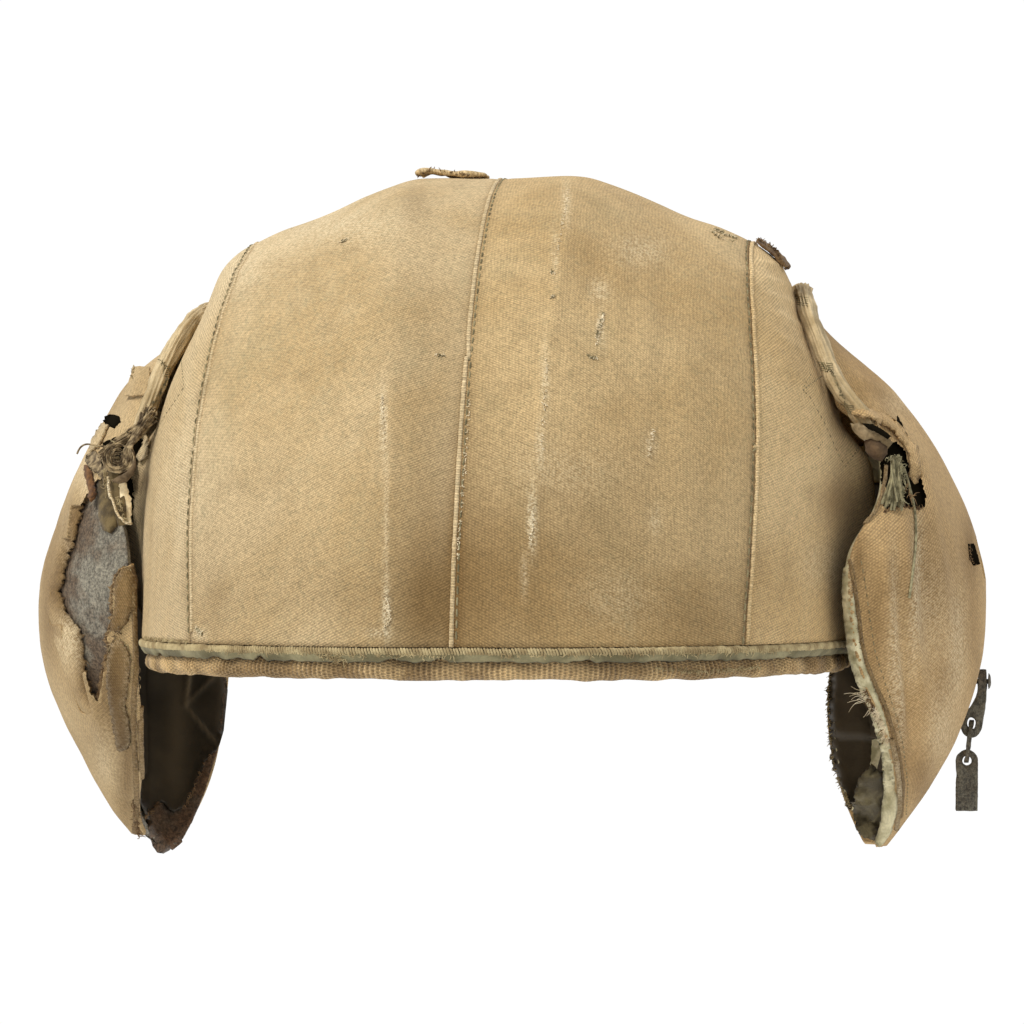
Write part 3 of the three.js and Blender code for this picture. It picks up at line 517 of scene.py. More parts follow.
# A near-black cloth laid where there is only shade: a painted shadow.
shadow_cloth = lining("hollow_shadow", (0.010, 0.008, 0.005), (0.005, 0.004, 0.002), 0.0)
plate_steel = steel("bare_plate", (0.25, 0.222, 0.16), (0.105, 0.066, 0.036), 0.55, 0.6 * MM, 0.05)
rusty_plate = steel("rusty_tip", (0.12, 0.085, 0.056), (0.13, 0.07, 0.034), 0.5, 0.2 * MM, 0.05)
strap_steel = steel("strap_steel", (0.14, 0.125, 0.088), (0.08, 0.056, 0.034), 0.5, 0.35 * MM, 0.3)
print("There are", len(bpy.data.materials), "finishes")

# %% [markdown]
# ## From a faceted solid to cloth
#
# A solid's copy is made of loose triangles. Merged, turned back to four-sided faces and subdivided,
# it becomes a smooth skin. The sharp edges of its wall are creased first: fully where the edge is
# hard, and only a little where worn cloth rolls over. The skin is then moved a little, vertex by
# vertex, for dents, folds and wrinkles.

# %% Copying and smoothing
WALL_EDGE = math.radians(50)
QUAD_LIMIT = math.radians(60)
WELD = 0.02 * MM
SMOOTHING = 3  # times that a skin is subdivided


def only(*pieces):
    """Selects these objects alone."""
    bpy.ops.object.select_all(action="DESELECT")
    for piece in pieces:
        piece.select_set(True)
    bpy.context.view_layer.objects.active = pieces[0]


def new_piece(name, vertices, faces):
    """An object from a list of places and faces, with its faces turned outwards."""
    mesh = bpy.data.meshes.new(name)
    mesh.from_pydata([tuple(vertex) for vertex in vertices], [], faces)
    piece = added(name, mesh)
    only(piece)
    bpy.ops.object.mode_set(mode="EDIT")
    bpy.ops.mesh.select_all(action="SELECT")
    bpy.ops.mesh.normals_make_consistent(inside=False)
    if bmesh.from_edit_mesh(mesh).calc_volume(signed=True) < 0:
        bpy.ops.mesh.flip_normals()
    bpy.ops.object.mode_set(mode="OBJECT")
    return piece


def settle(piece, material):
    """Gives a finished piece its finish and its body."""
    piece.data.materials.clear()
    piece.data.materials.append(material)
    for face in piece.data.polygons:
        face.use_smooth = True
    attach(piece, "root")


def skin(node, name, crease=1.0):
    """A smoothed copy of a CAD node that stands for it."""
    piece = added(name, nodes[node].data.copy())
    only(piece)
    bpy.ops.object.mode_set(mode="EDIT")
    bpy.ops.mesh.select_all(action="SELECT")
    bpy.ops.mesh.remove_doubles(threshold=WELD)
    bpy.ops.mesh.tris_convert_to_quads(face_threshold=QUAD_LIMIT, shape_threshold=QUAD_LIMIT)
    bpy.ops.mesh.select_mode(type="EDGE")
    bpy.ops.mesh.select_all(action="DESELECT")
    bpy.ops.mesh.edges_select_sharp(sharpness=WALL_EDGE)
    bpy.ops.transform.edge_crease(value=crease)
    bpy.ops.object.mode_set(mode="OBJECT")
    smooth = piece.modifiers.new("smooth", "SUBSURF")
    smooth.levels = SMOOTHING
    smooth.render_levels = SMOOTHING
    bpy.ops.object.modifier_apply(modifier=smooth.name)
    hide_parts(node)
    print(name, "has", len(piece.data.polygons), "faces")
    return piece


# %% Reading and moving vertices


def points_of(piece):
    """The places of a piece's vertices, one row for each."""
    found = np.zeros(3 * len(piece.data.vertices), np.float32)
    piece.data.vertices.foreach_get("co", found)
    return found.reshape(-1, 3).astype(float)


def normals_of(piece):
    """The way out of a piece at each of its vertices."""
    found = np.zeros(3 * len(piece.data.vertices), np.float32)
    piece.data.vertex_normals.foreach_get("vector", found)
    return found.reshape(-1, 3).astype(float)


def move_points(piece, points):
    """Puts a piece's vertices in new places."""
    piece.data.vertices.foreach_set("co", points.astype(np.float32).ravel())
    piece.data.update()


def crumple(points, sizes):
    """Noise relief in millimetres: a blot's width in millimetres and its height for each size."""
    total = np.zeros(len(points))
    for width, rise in sizes:
        scale = 1 / (width * MM)
        total += rise * np.array([noise.noise(Vector(point) * scale) for point in points])
    return total


def rough_skin(node, name, crease, sizes):
    """A small node's skin, roughened. The places before that come too, for marks and maps."""
    piece = skin(node, name, crease)
    points = points_of(piece)
    move_points(piece, points + normals_of(piece) * (crumple(points, sizes)[:, None] * MM))
    return piece, points


def paint(piece, name, values):
    """Keeps a number for each vertex, which a finish reads as a mark."""
    attribute = piece.data.attributes.new(name, "FLOAT", "POINT")
    attribute.data.foreach_set("value", np.clip(values, 0, 1).astype(np.float32))


def lay_map(piece, u, v):
    """Lays the cloth map from a value of u and v for each vertex."""
    layer = piece.data.uv_layers.new(name="cloth")
    corners = np.zeros(len(piece.data.loops), np.int32)
    piece.data.loops.foreach_get("vertex_index", corners)
    chart = np.stack([u[corners], v[corners]], axis=1).astype(np.float32)
    layer.data.foreach_set("uv", chart.ravel())


# %% Marks placed by their pixels in the photograph


def named_rows(columns, *rows):
    """A table: each row becomes a dict with these columns."""
    return [dict(zip(columns.split(), row)) for row in rows]


def blots(pixels, table):
    """The sum of soft spots in the photograph, each a row of u, v, wide, tall and strength."""
    total = np.zeros(len(pixels))
    for spot in table:
        du = (pixels[:, 0] - spot["u"]) / spot["wide"]
        dv = (pixels[:, 1] - spot["v"]) / spot["tall"]
        total += spot["strength"] * np.exp(-du * du - dv * dv)
    return total


def distance_to(pixels, start, end):
    """How far each pixel is from a line between two pixels, and how far along the line it lies."""
    start = np.array(start, float)
    way = np.array(end, float) - start
    along = np.clip((pixels - start) @ way / (way @ way), 0, 1)
    return np.linalg.norm(pixels - start - along[:, None] * way, axis=1), along


def folds(pixels, table):
    """The sum of soft ridges, each a row of its two ends, its width in pixels and its lift."""
    total = np.zeros(len(pixels))
    for fold in table:
        ends = (fold["u0"], fold["v0"]), (fold["u1"], fold["v1"])
        distance, along = distance_to(pixels, *ends)
        fade = np.sin(np.pi * (0.12 + 0.76 * along))
        total += fold["lift"] * np.exp(-((distance / fold["width"]) ** 2)) * fade
    return total


def near_route(pixels, route, width):
    """1 on a route of pixels, fading out over a width in pixels."""
    nearest = np.full(len(pixels), np.inf)
    for start, end in zip(route, route[1:]):
        nearest = np.minimum(nearest, distance_to(pixels, start, end)[0])
    return np.exp(-((nearest / width) ** 2))


# %% Lines of sight on surfaces


def surface_of(*pieces):
    """A search tree over pieces, for lines of sight to land on."""
    vertices = []
    faces = []
    for piece in pieces:
        start = len(vertices)
        vertices += [tuple(point) for point in points_of(piece)]
        faces += [tuple(start + i for i in face.vertices) for face in piece.data.polygons]
    return BVHTree.FromPolygons(vertices, faces)


def land(u, v, surface, depth=None):
    """Where a line of sight lands on a surface and the way out of it there.

    Where it misses, it ends at a depth y of the helmet, if one is given.
    """
    if surface is not None:
        place, out, _, _ = surface.ray_cast(eye, sight(u, v))
        if place is not None:
            return place, out if out.dot(sight(u, v)) < 0 else -out
    if depth is None:
        return None, None
    return at_depth(u, v, depth), -sight(u, v)


# %% [markdown]
# ## The crown
#
# Steel plates lie under the twill, so the crown has flat bands with soft ridges between them, and
# years of use have dented and stained it. The dents, wrinkles, worn spots, stains and painted shade
# are rows in short tables, placed where the photograph shows them. The seams pull the cloth in a
# little, and a painted shadow runs along them.

# %% Where the seams run
seams = [
    {"name": "middle_seam", "first": "top_panel_left", "second": "top_panel_right"},
    {"name": "left_seam", "first": "top_panel_left", "second": "side_panel_left"},
    {"name": "right_seam", "first": "top_panel_right", "second": "side_panel_right"},
]
SEAM_REACH = 0.55 * MM


def seam_route(first, second):
    """The outer line along which two panels meet, from the brow over the top to the nape."""
    neighbour = surface_of(nodes[second])
    farthest = {}
    for point in points_of(nodes[first]):
        _, _, _, gap = neighbour.find_nearest(Vector(point))
        if gap is not None and gap < SEAM_REACH:
            turn = round(math.atan2(point[2], -point[1]), 2)
            reach = np.linalg.norm(point)
            if turn not in farthest or np.linalg.norm(farthest[turn]) < reach:
                farthest[turn] = point
    return [Vector(farthest[turn]) for turn in sorted(farthest)]


seam_tree_points = []
for seam in seams:
    seam["route"] = seam_route(seam["first"], seam["second"])
    for start, end in zip(seam["route"], seam["route"][1:]):
        seam_tree_points += [start.lerp(end, t / 8) for t in range(8)]
    print(seam["name"], "runs over", len(seam["route"]), "stations")
seam_tree = KDTree(len(seam_tree_points))
for i, point in enumerate(seam_tree_points):
    seam_tree.insert(point, i)
seam_tree.balance()

# %% Soft ridges of the crown
crown_folds = named_rows(
    "u0 v0 u1 v1 width lift",
    (400, 192, 394, 330, 5, 0.5),
    (395, 330, 387, 640, 4.5, 0.75),
    (572, 185, 545, 380, 6, 0.6),
    (545, 380, 525, 640, 6, 0.6),
    (760, 262, 788, 268, 3.2, 0.75),
    (764, 278, 799, 290, 3.2, 0.8),
    (766, 293, 802, 306, 3.2, 0.7),
    (770, 310, 806, 330, 3.6, 0.7),
    (772, 328, 808, 356, 4, 0.6),
    (774, 350, 806, 384, 5, 0.4),
    (600, 230, 586, 330, 12, -0.6),
    (625, 220, 612, 400, 9, 0.4),
    (650, 240, 640, 420, 9, 0.35),
    (665, 260, 660, 520, 8, -0.3),
    (690, 250, 684, 560, 10, 0.3),
    (715, 300, 712, 600, 9, -0.3),
    (340, 260, 318, 420, 12, -0.4),
    (320, 400, 312, 620, 8, 0.35),
    (296, 300, 280, 560, 9, 0.35),
    (268, 300, 256, 560, 9, -0.3),
    (240, 330, 232, 600, 7, 0.3),
    (350, 430, 346, 630, 8, -0.25),
    (430, 230, 425, 600, 12, -0.3),
    (800, 430, 790, 600, 12, -0.4),
    (172, 440, 166, 600, 9, -0.3),
    (355, 205, 310, 240, 8, -0.5),
    (440, 310, 380, 330, 6, 0.25),
)
print("The crown has", len(crown_folds), "soft ridges and hollows")

# %% Worn spots, stains and painted shade of the crown
crown_wear = named_rows(
    "u v wide tall strength",
    (383, 420, 2.5, 26, 0.9),
    (387, 612, 3.4, 24, 0.7),
    (377, 632, 12, 3, 0.4),
    (386, 520, 2.2, 90, 0.3),
    (601, 330, 2.6, 15, 0.9),
    (545, 380, 3.5, 34, 0.45),
    (540, 445, 3.5, 20, 0.4),
    (532, 522, 4, 26, 0.85),
    (524, 575, 3, 20, 0.3),
    (566, 205, 4, 22, 0.5),
    (555, 255, 3, 26, 0.35),
    (199, 634, 6, 5, 0.5),
    (640, 250, 26, 16, 0.3),
    (600, 290, 10, 12, 0.35),
    (650, 445, 6, 12, 0.35),
    (655, 520, 5, 14, 0.3),
    (240, 262, 50, 34, 0.28),
    (330, 225, 70, 22, 0.34),
    (180, 480, 26, 60, 0.2),
    (820, 565, 22, 26, 0.25),
    (560, 470, 60, 26, 0.14),
    (620, 600, 40, 30, 0.14),
)
# Stains and painted shade: darker low in the middle, right of the left ridge and beside the flaps.
crown_stains_and_shade = named_rows(
    "u v wide tall strength",
    (480, 600, 95, 110, 0.6),
    (440, 480, 60, 140, 0.35),
    (620, 520, 110, 130, 0.35),
    (700, 620, 60, 50, 0.35),
    (290, 620, 120, 60, 0.22),
    (250, 520, 70, 90, 0.22),
    (185, 590, 30, 70, 0.12),
    (435, 300, 50, 120, 0.2),
    (610, 260, 70, 70, 0.2),
    (415, 205, 14, 20, 0.3),
    (422, 610, 30, 60, 0.4),
    (330, 322, 14, 14, 0.12),
    (345, 590, 30, 30, 0.15),
    (830, 500, 18, 26, 0.5),
    (800, 345, 14, 40, 0.2),
    (850, 540, 22, 100, 0.5),
    (770, 560, 40, 70, 0.15),
    (147, 482, 3, 12, 0.7),
    (215, 600, 14, 40, 0.2),
)
# The stains counted here include painted shade.
print("It has", len(crown_wear), "worn spots and", len(crown_stains_and_shade), "stains")

# %% The four panels
crown_parts = named_rows(
    "node name cloth",
    ("top_panel_left", "crown_top_left", left_twill),
    ("top_panel_right", "crown_top_right", right_twill),
    ("side_panel_left", "crown_side_left", side_left_twill),
    ("side_panel_right", "crown_side_right", side_right_twill),
)
CROWN_MIDDLE = np.array([0, 0, 0.02])
CROWN_RADIUS = 0.12
CROWN_RELIEF = [(45, 0.55), (17, 0.28), (7, 0.12)]
SEAM_PULL = 0.3  # millimetres
SEAM_PULL_WIDTH = 2.2 * MM
# How dark the painted shadow along the seams is.
SEAM_SHADOW = 0.3
RIM_CALM = 6 * MM
SIDE_FADE = 0.05

# %% Where a side of the crown swells into its flap, in millimetres
side_swells = {
    "side_panel_left": {"out": 6.5, "start": 8, "full": 26, "centre": -8, "reach": 14},
    "side_panel_right": {"out": 9.2, "start": 1, "full": 22, "centre": -13, "reach": 12.5},
}
SWELL_FADE = 50
SWELL_END = 66


def swell(points, out, start, full, centre, reach):
    """How far a side of the crown swells into the hollow of its flap, in millimetres."""
    height = points[:, 2] / MM
    low = np.clip((height - start) / (full - start), 0, 1)
    high = np.clip((SWELL_END - height) / (SWELL_END - SWELL_FADE), 0, 1)
    across_it = np.exp(-(((points[:, 1] / MM - centre) / reach) ** 2))
    return out * across_it * np.sin(low * math.pi / 2) ** 2 * np.sin(high * math.pi / 2) ** 2


# %% Crown panels


def faces_camera(points, shift=0.0):
    """1 on the half of the helmet that the photograph shows, fading to 0 over its sides."""
    return np.clip(0.5 - (points[:, 1] - shift) / SIDE_FADE, 0, 1)


def crown_panel(part):
    """A panel of the crown, dented, painted and mapped."""
    piece = skin(part["node"], part["name"])
    points = points_of(piece)
    shown = faces_camera(points)
    pixels = pixels_of(points)
    outward = points - CROWN_MIDDLE
    outward /= np.linalg.norm(outward, axis=1, keepdims=True)
    from_seam = np.array([seam_tree.find(point)[2] for point in points])
    by_seam = np.exp(-((from_seam / SEAM_PULL_WIDTH) ** 2))
    relief = crumple(points, CROWN_RELIEF) + folds(pixels, crown_folds) * shown
    relief -= SEAM_PULL * by_seam
    if part["node"] in side_swells:
        points[:, 0] += np.sign(points[:, 0]) * swell(points, **side_swells[part["node"]]) * MM
    calm = np.clip(points[:, 2] / RIM_CALM, 0, 1)
    move_points(piece, points + outward * (relief * calm)[:, None] * MM)
    paint(piece, "wear_and_sheen", blots(pixels, crown_wear) * shown)
    # Stains and painted shade from the table, and a painted shadow along the seams.
    paint(piece, "grime_and_shade", blots(pixels, crown_stains_and_shade) * shown + SEAM_SHADOW * by_seam)
    if "top" in part["node"]:
        u = points[:, 0]
        v = np.arctan2(points[:, 2], -points[:, 1]) * CROWN_RADIUS
    else:
        u = np.arctan2(points[:, 0], -points[:, 1]) * CROWN_RADIUS
        v = points[:, 2]
    lay_map(piece, u, v)
    settle(piece, part["cloth"])
    return piece


crown = {part["node"]: crown_panel(part) for part in crown_parts}
crown_surface = surface_of(*crown.values())

# %% [markdown]
# ## Sewing tools
#
# Four tools make everything that is sewn or torn. One turns routes into threads. One lays a torn
# piece of cloth on a surface: its outline is drawn on the photograph, filled with triangles, laid
# where the lines of sight land, and given a thickness. One tears a ragged hole through a piece,
# along the same lines of sight. The last lays a narrow ribbon along a route, as a hem or a fold.

# %% Threads


def threads(name, routes, radius, material, replaces=()):
    """Many threads as one piece. A route is a list of places, each with its share of the radius."""
    curve = bpy.data.curves.new(name, "CURVE")
    curve.dimensions = "3D"
    curve.bevel_depth = radius
    curve.bevel_resolution = 1
    curve.resolution_u = 3
    curve.use_fill_caps = True
    for route in routes:
        spline = curve.splines.new("NURBS")
        spline.points.add(len(route) - 1)
        for point, (place, share) in zip(spline.points, route):
            point.co = (*place, 1)
            point.radius = share
        spline.order_u = min(4, len(route))
        spline.use_endpoint_u = True
    only(added(name, curve))
    bpy.ops.object.convert(target="MESH")
    piece = bpy.context.object
    settle(piece, material)
    if replaces:
        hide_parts(*replaces)
    print(name, "has", len(routes), "threads and", len(piece.data.polygons), "faces")
    return piece


# %% Routes with even steps


def distances(route):
    """How far along a route each of its places lies."""
    steps = np.linalg.norm(np.diff(np.array(route), axis=0), axis=1)
    return np.concatenate([[0], np.cumsum(steps)])


def evenly(places, outs, spacing):
    """A route with a place, and the way out of the cloth there, every spacing metres."""
    flat = np.array([tuple(place) for place in places])
    reached = distances(flat)
    wanted = np.linspace(0, reached[-1], max(3, int(reached[-1] / spacing)))
    out = np.array([tuple(way) for way in outs])
    place = np.stack([np.interp(wanted, reached, flat[:, k]) for k in range(3)], axis=1)
    way = np.stack([np.interp(wanted, reached, out[:, k]) for k in range(3)], axis=1)
    return [Vector(p) for p in place], [Vector(w).normalized() for w in way]


def along(route, count):
    """That many pixels evenly spaced along a route of pixels."""
    flat = np.array(route, float)
    reached = distances(flat)
    wanted = np.linspace(0, reached[-1], count)
    u = np.interp(wanted, reached, flat[:, 0])
    v = np.interp(wanted, reached, flat[:, 1])
    return list(zip(u, v))


# %% [markdown]
# ## Staying on the near wall
#
# A flap is hollow. Where a route runs off the edge of its near wall, the line of sight goes on and
# lands on the far wall, and a ribbon along such a route would leap across the hollow. So a hit
# that lies much deeper than the one before it is left out. The leap that is allowed grows a little
# with each step, because a wall may slope, and a hit far back on the flap never counts.

# %% Routes laid on cloth
FIRST_HITS = 12  # the nearest of so many hits is on the near wall
LEAP = 6 * MM
LEAP_GROWTH = 0.3 * MM
NEAR_END = 30 * MM
PIXELS_PER_HIT = 1.5


def near_wall(hits):
    """Leaves out the hits that leap back to the far wall of a hollow, past the near wall's edge."""
    limit = min(place.y for place, _ in hits[:FIRST_HITS]) + LEAP
    kept = []
    for place, out in hits:
        limit += LEAP_GROWTH
        if place.y < min(limit, NEAR_END):
            limit = place.y + LEAP
            kept.append((place, out))
    return kept


def on_surface(route, surface, spacing=0.6 * MM, depth=None, lift=0.0):
    """A route of pixels laid on a surface, lift millimetres off it. A flap's route has a depth."""
    length = sum(math.dist(a, b) for a, b in zip(route, route[1:]))
    hits = [land(u, v, surface, depth) for u, v in along(route, max(3, int(length / PIXELS_PER_HIT)))]
    hits = [(place, out) for place, out in hits if place is not None]
    if depth is not None:
        hits = near_wall(hits)
    places = [place + out * (lift * MM) for place, out in hits]
    return evenly(places, [out for _, out in hits], spacing)


# %% Stitches
STITCH_SLANT = 0.12  # millimetres
STITCH_DIP = 0.3


def stitched(places, outs, length, gap, rise=0.25):
    """Stitches along an even route: each arches over the cloth and dips in at both ends."""
    spacing = (places[1] - places[0]).length
    per_stitch = max(1, round(length * MM / spacing))
    step = per_stitch + max(1, round(gap * MM / spacing))
    routes = []
    for i in range(0, len(places) - per_stitch, step):
        start, end = places[i], places[i + per_stitch]
        out = outs[i]
        aside = (end - start).cross(out).normalized() * (random.uniform(-STITCH_SLANT, STITCH_SLANT) * MM)
        top = out * (rise * MM)
        dip = out * (STITCH_DIP * MM)
        routes.append([
            (start - dip, 0.8),
            (start.lerp(end, 0.25) + top + aside, 1.0),
            (start.lerp(end, 0.75) + top - aside, 1.0),
            (end - dip, 0.8),
        ])
    return routes


# %% Loose threads
LAND_REACH = 25 * MM
THREAD_STEPS = 4
DROOP = Vector((0, 0, -0.12))


def loose(u, v, surface, depth, reach, lean, curl=0.5):
    """A loose thread from a pixel: reach in millimetres, and its lean in pixels right and down.

    Where there is a surface, a thread that misses it or lands far behind depth is left out.
    """
    place, out = land(u, v, surface, depth if surface is None else None)
    if place is None or (depth is not None and place.y > depth + LAND_REACH):
        return None
    way = (across * lean[0] - upward * lean[1]).normalized()
    route = [(place - way * (0.4 * MM), 0.9), (place + out * (0.3 * MM), 1.0)]
    here = place + out * (0.4 * MM)
    for k in range(THREAD_STEPS):
        wander = Vector([random.gauss(0, curl) for _ in range(3)])
        here = here + (way + wander).normalized() * (reach * MM / THREAD_STEPS)
        way = (way + DROOP + wander * 0.3).normalized()
        route.append((here, 0.9 - 0.15 * k))
    return route


SPOTS_ALONG = 200


def fringe(route, surface, depth, count, reach, lean, curl=0.5):
    """Loose threads at random places along a route of pixels."""
    spots = along(route, SPOTS_ALONG)
    found = []
    for _ in range(count):
        u, v = random.choice(spots)
        tilt = (lean[0] + random.gauss(0, 0.5), lean[1] + random.gauss(0, 0.5))
        long = reach * random.uniform(0.3, 1.0)
        spot = u + random.gauss(0, 0.6), v + random.gauss(0, 0.6)
        found.append(loose(*spot, surface, depth, long, tilt, curl))
    return [thread_route for thread_route in found if thread_route]


def fringes(*rows):
    """Fringes in several places, each a row of route, surface, depth, count, reach, lean and curl."""
    return [thread_route for row in rows for thread_route in fringe(*row)]


# %% An outline filled with triangles


def in_loop(spots, loop):
    """Which of some pixels lie inside a closed loop of pixels."""
    u, v = spots[:, 0], spots[:, 1]
    inside = np.zeros(len(spots), bool)
    for (u0, v0), (u1, v1) in zip(loop, np.roll(loop, -1, axis=0)):
        if v0 != v1:
            inside ^= ((v0 > v) != (v1 > v)) & (u < u0 + (v - v0) * (u1 - u0) / (v1 - v0))
    return inside


def ragged(route, step, jitter, closed=True):
    """A route of pixels with a pixel every step, each pushed about by jitter."""
    ends = [*route, route[0]] if closed else list(route)
    dense = []
    for (u0, v0), (u1, v1) in zip(ends, ends[1:]):
        count = max(1, round(math.dist((u0, v0), (u1, v1)) / step))
        for i in range(count):
            t = i / count
            push = random.gauss(0, jitter), random.gauss(0, jitter)
            dense.append((u0 + (u1 - u0) * t + push[0], v0 + (v1 - v0) * t + push[1]))
    if not closed:
        dense.append(tuple(ends[-1]))
    return dense


def filled(loop, spacing):
    """Triangles that fill a loop of pixels, and the pixels of their corners."""
    loop = np.array(loop)
    low, high = loop.min(axis=0), loop.max(axis=0)
    columns = np.arange(low[0], high[0], spacing)
    rows = np.arange(low[1], high[1], spacing)
    grid = np.array([(u + spacing / 2 * (i % 2), v) for i, v in enumerate(rows) for u in columns])
    clear = np.linalg.norm(grid[:, None] - loop[None], axis=2).min(axis=1) > 0.6 * spacing
    grid = grid[in_loop(grid, loop) & clear]
    corners = [Vector(spot) for spot in np.concatenate([loop, grid])]
    sides = [(i, (i + 1) % len(loop)) for i in range(len(loop))]
    spots, _, faces, _, _, _ = delaunay_2d_cdt(corners, sides, [], 0, 1e-4)
    spots = np.array([tuple(spot) for spot in spots])
    middles = np.array([spots[list(face)].mean(axis=0) for face in faces])
    inside = in_loop(middles, loop)
    return spots, [list(face) for face, kept in zip(faces, inside) if kept]


def slab(name, top, bottom, faces):
    """A closed piece between two skins that share their faces."""
    count = len(top)
    sides = {(a, b) for face in faces for a, b in zip(face, face[1:] + face[:1])}
    walls = [(a, b, b + count, a + count) for a, b in sides if (b, a) not in sides]
    under = [[i + count for i in reversed(face)] for face in faces]
    return new_piece(name, [*top, *bottom], faces + under + walls)


# %% Cloth laid on a surface


def landed(spots, surface, depth=None, deepest=None):
    """Lands pixels on a surface. One that misses takes the depth of the nearest that lands.

    One that lands deeper than deepest counts as a miss.
    """
    found = [land(u, v, surface, depth) for u, v in spots]
    if deepest is not None:
        found = [hit if hit[0] is not None and hit[0].y <= deepest else (None, None) for hit in found]
    hits = [i for i, (place, _) in enumerate(found) if place is not None]
    hit_spots = spots[hits]
    for i, (place, _) in enumerate(found):
        if place is None:
            nearest = hits[int(np.linalg.norm(hit_spots - spots[i], axis=1).argmin())]
            beside, out = found[nearest]
            found[i] = at_depth(*spots[i], beside.y), out
    return found


EAR_AXIS = (0.095, 0.018)
FLAP_RADIUS = 0.06


def flap_map(points):
    """The cloth map of a flap's layers: round the ear's axis and down."""
    side = np.where(points[:, 0] > 0, 1, -1)
    turn = np.arctan2(points[:, 1] - EAR_AXIS[1], (points[:, 0] * side - EAR_AXIS[0]))
    return turn * FLAP_RADIUS, points[:, 2]


EDGE_STEP = 2.2  # pixels between the points of a torn edge
EDGE_JITTER = 0.6
BURIED_STEP = 5
EDGE_REACH = 5
BURIED_SINK = 0.25  # millimetres


def laid(name, torn, surface, material, buried=(), lift=0.4, curl=0.5, wall=0.9, jitter=EDGE_JITTER,
         spacing=4, wear_and_sheen=0.0, grime_and_shade=0.0, creases=(), shine=0.0, rough=0.25, depth=None, deepest=None):
    """A piece of cloth laid on a surface. Its torn edge curls up and its buried edge sinks in.

    torn and buried are routes of pixels that meet at their ends; lift, curl, wall and rough are
    millimetres. grime_and_shade darkens the torn edge, wear_and_sheen lightens it, and creases are
    soft ridges along which a shine is painted in as lighter colour.
    """
    loop = ragged(torn, EDGE_STEP, jitter, closed=not buried)
    if buried:
        loop += ragged(buried, BURIED_STEP, 0, closed=False)
    spots, faces = filled(loop, spacing)
    places = landed(spots, surface, depth, deepest)
    by_torn = near_route(spots, torn if buried else [*torn, torn[0]], EDGE_REACH)
    sunk = near_route(spots, buried, EDGE_REACH) if buried else 0
    height = lift + curl * by_torn - (lift + BURIED_SINK) * sunk + folds(spots, creases)
    flat = np.array([tuple(place) for place, _ in places])
    height = height + crumple(flat, [(6, rough), (2.5, 0.5 * rough)])
    top = [place + out * (rise * MM) for (place, out), rise in zip(places, height)]
    bottom = [place + out * ((rise - wall) * MM) for (place, out), rise in zip(places, height)]
    piece = slab(name, top, bottom, faces)
    edge = np.concatenate([by_torn, by_torn])
    both = np.concatenate([spots, spots])
    # The torn edge is darkened, and the flaps' stains and painted shade are laid on.
    paint(piece, "grime_and_shade", grime_and_shade * edge + blots(both, flap_stains_and_shade))
    # A shine is painted along the creases, in the same mark as the wear.
    paint(piece, "wear_and_sheen", wear_and_sheen * edge ** 2 + blots(both, flap_wear) + shine * folds(both, creases))
    lay_map(piece, *flap_map(points_of(piece)))
    settle(piece, material)
    print(name, "has", len(piece.data.polygons), "faces")
    return piece


# %% A torn hole


def grown(loop, across_share, down_share):
    """A loop of pixels drawn larger about its middle."""
    middle = np.mean(loop, axis=0)
    shares = np.array([across_share, down_share])
    return [tuple(middle + (np.array(spot) - middle) * shares) for spot in loop]


HOLE_SPACING = 12  # pixels


def tear(piece, loop, surface, reach=5, deepest=None):
    """Tears a ragged hole through a piece, reach millimetres to both sides of a surface."""
    spots, faces = filled(ragged(loop, EDGE_STEP, EDGE_JITTER), HOLE_SPACING)
    places = landed(spots, surface, deepest=deepest)
    ways = [sight(u, v) * (reach * MM) for u, v in spots]
    near = [place - way for (place, _), way in zip(places, ways)]
    far = [place + way for (place, _), way in zip(places, ways)]
    tool = slab("tearing_tool", near, far, faces)
    before = len(piece.data.polygons)
    hole = piece.modifiers.new("hole", "BOOLEAN")
    hole.operation = "DIFFERENCE"
    hole.solver = "EXACT"
    hole.object = tool
    only(piece)
    bpy.ops.object.modifier_apply(modifier=hole.name)
    bpy.data.objects.remove(tool)
    print(piece.name, "had", before, "faces and now has", len(piece.data.polygons))


# %% Ribbons
ribbon_profile = [(-0.5, -0.7), (-0.5, 0.3), (-0.3, 0.85), (0.0, 1.0), (0.3, 0.85), (0.5, 0.3), (0.5, -0.7)]


def ribbon(name, places, outs, width, rise, material, wear_and_sheen=0.0, grime_and_shade=0.0):
    """A narrow strip with a rounded back, laid along an even route. Width and rise in millimetres."""
    vertices = []
    for i, (place, out) in enumerate(zip(places, outs)):
        way = places[min(i + 1, len(places) - 1)] - places[max(i - 1, 0)]
        aside = way.cross(out).normalized()
        swell = 1 + 0.22 * noise.noise(place * (1 / (3 * MM)))
        for reach, height in ribbon_profile:
            vertices.append(place + (aside * (reach * width * swell) + out * (height * rise * swell)) * MM)
    sides = len(ribbon_profile)
    faces = []
    for i in range(len(places) - 1):
        for k in range(sides):
            a = i * sides + k
            b = i * sides + (k + 1) % sides
            faces.append((a, b, b + sides, a + sides))
    last = (len(places) - 1) * sides
    faces += [tuple(range(sides)), tuple(range(last + sides - 1, last - 1, -1))]
    piece = new_piece(name, vertices, faces)
    points = points_of(piece)
    lay_map(piece, *flap_map(points))
    worn = np.array([0.5 + 0.5 * noise.noise(Vector(point) * (1 / (4 * MM))) for point in points])
    paint(piece, "wear_and_sheen", wear_and_sheen * 2 * worn)
    paint(piece, "grime_and_shade", grime_and_shade * 2 * worn)
    settle(piece, material)
    print(name, "runs over", len(places), "stations")
    return piece


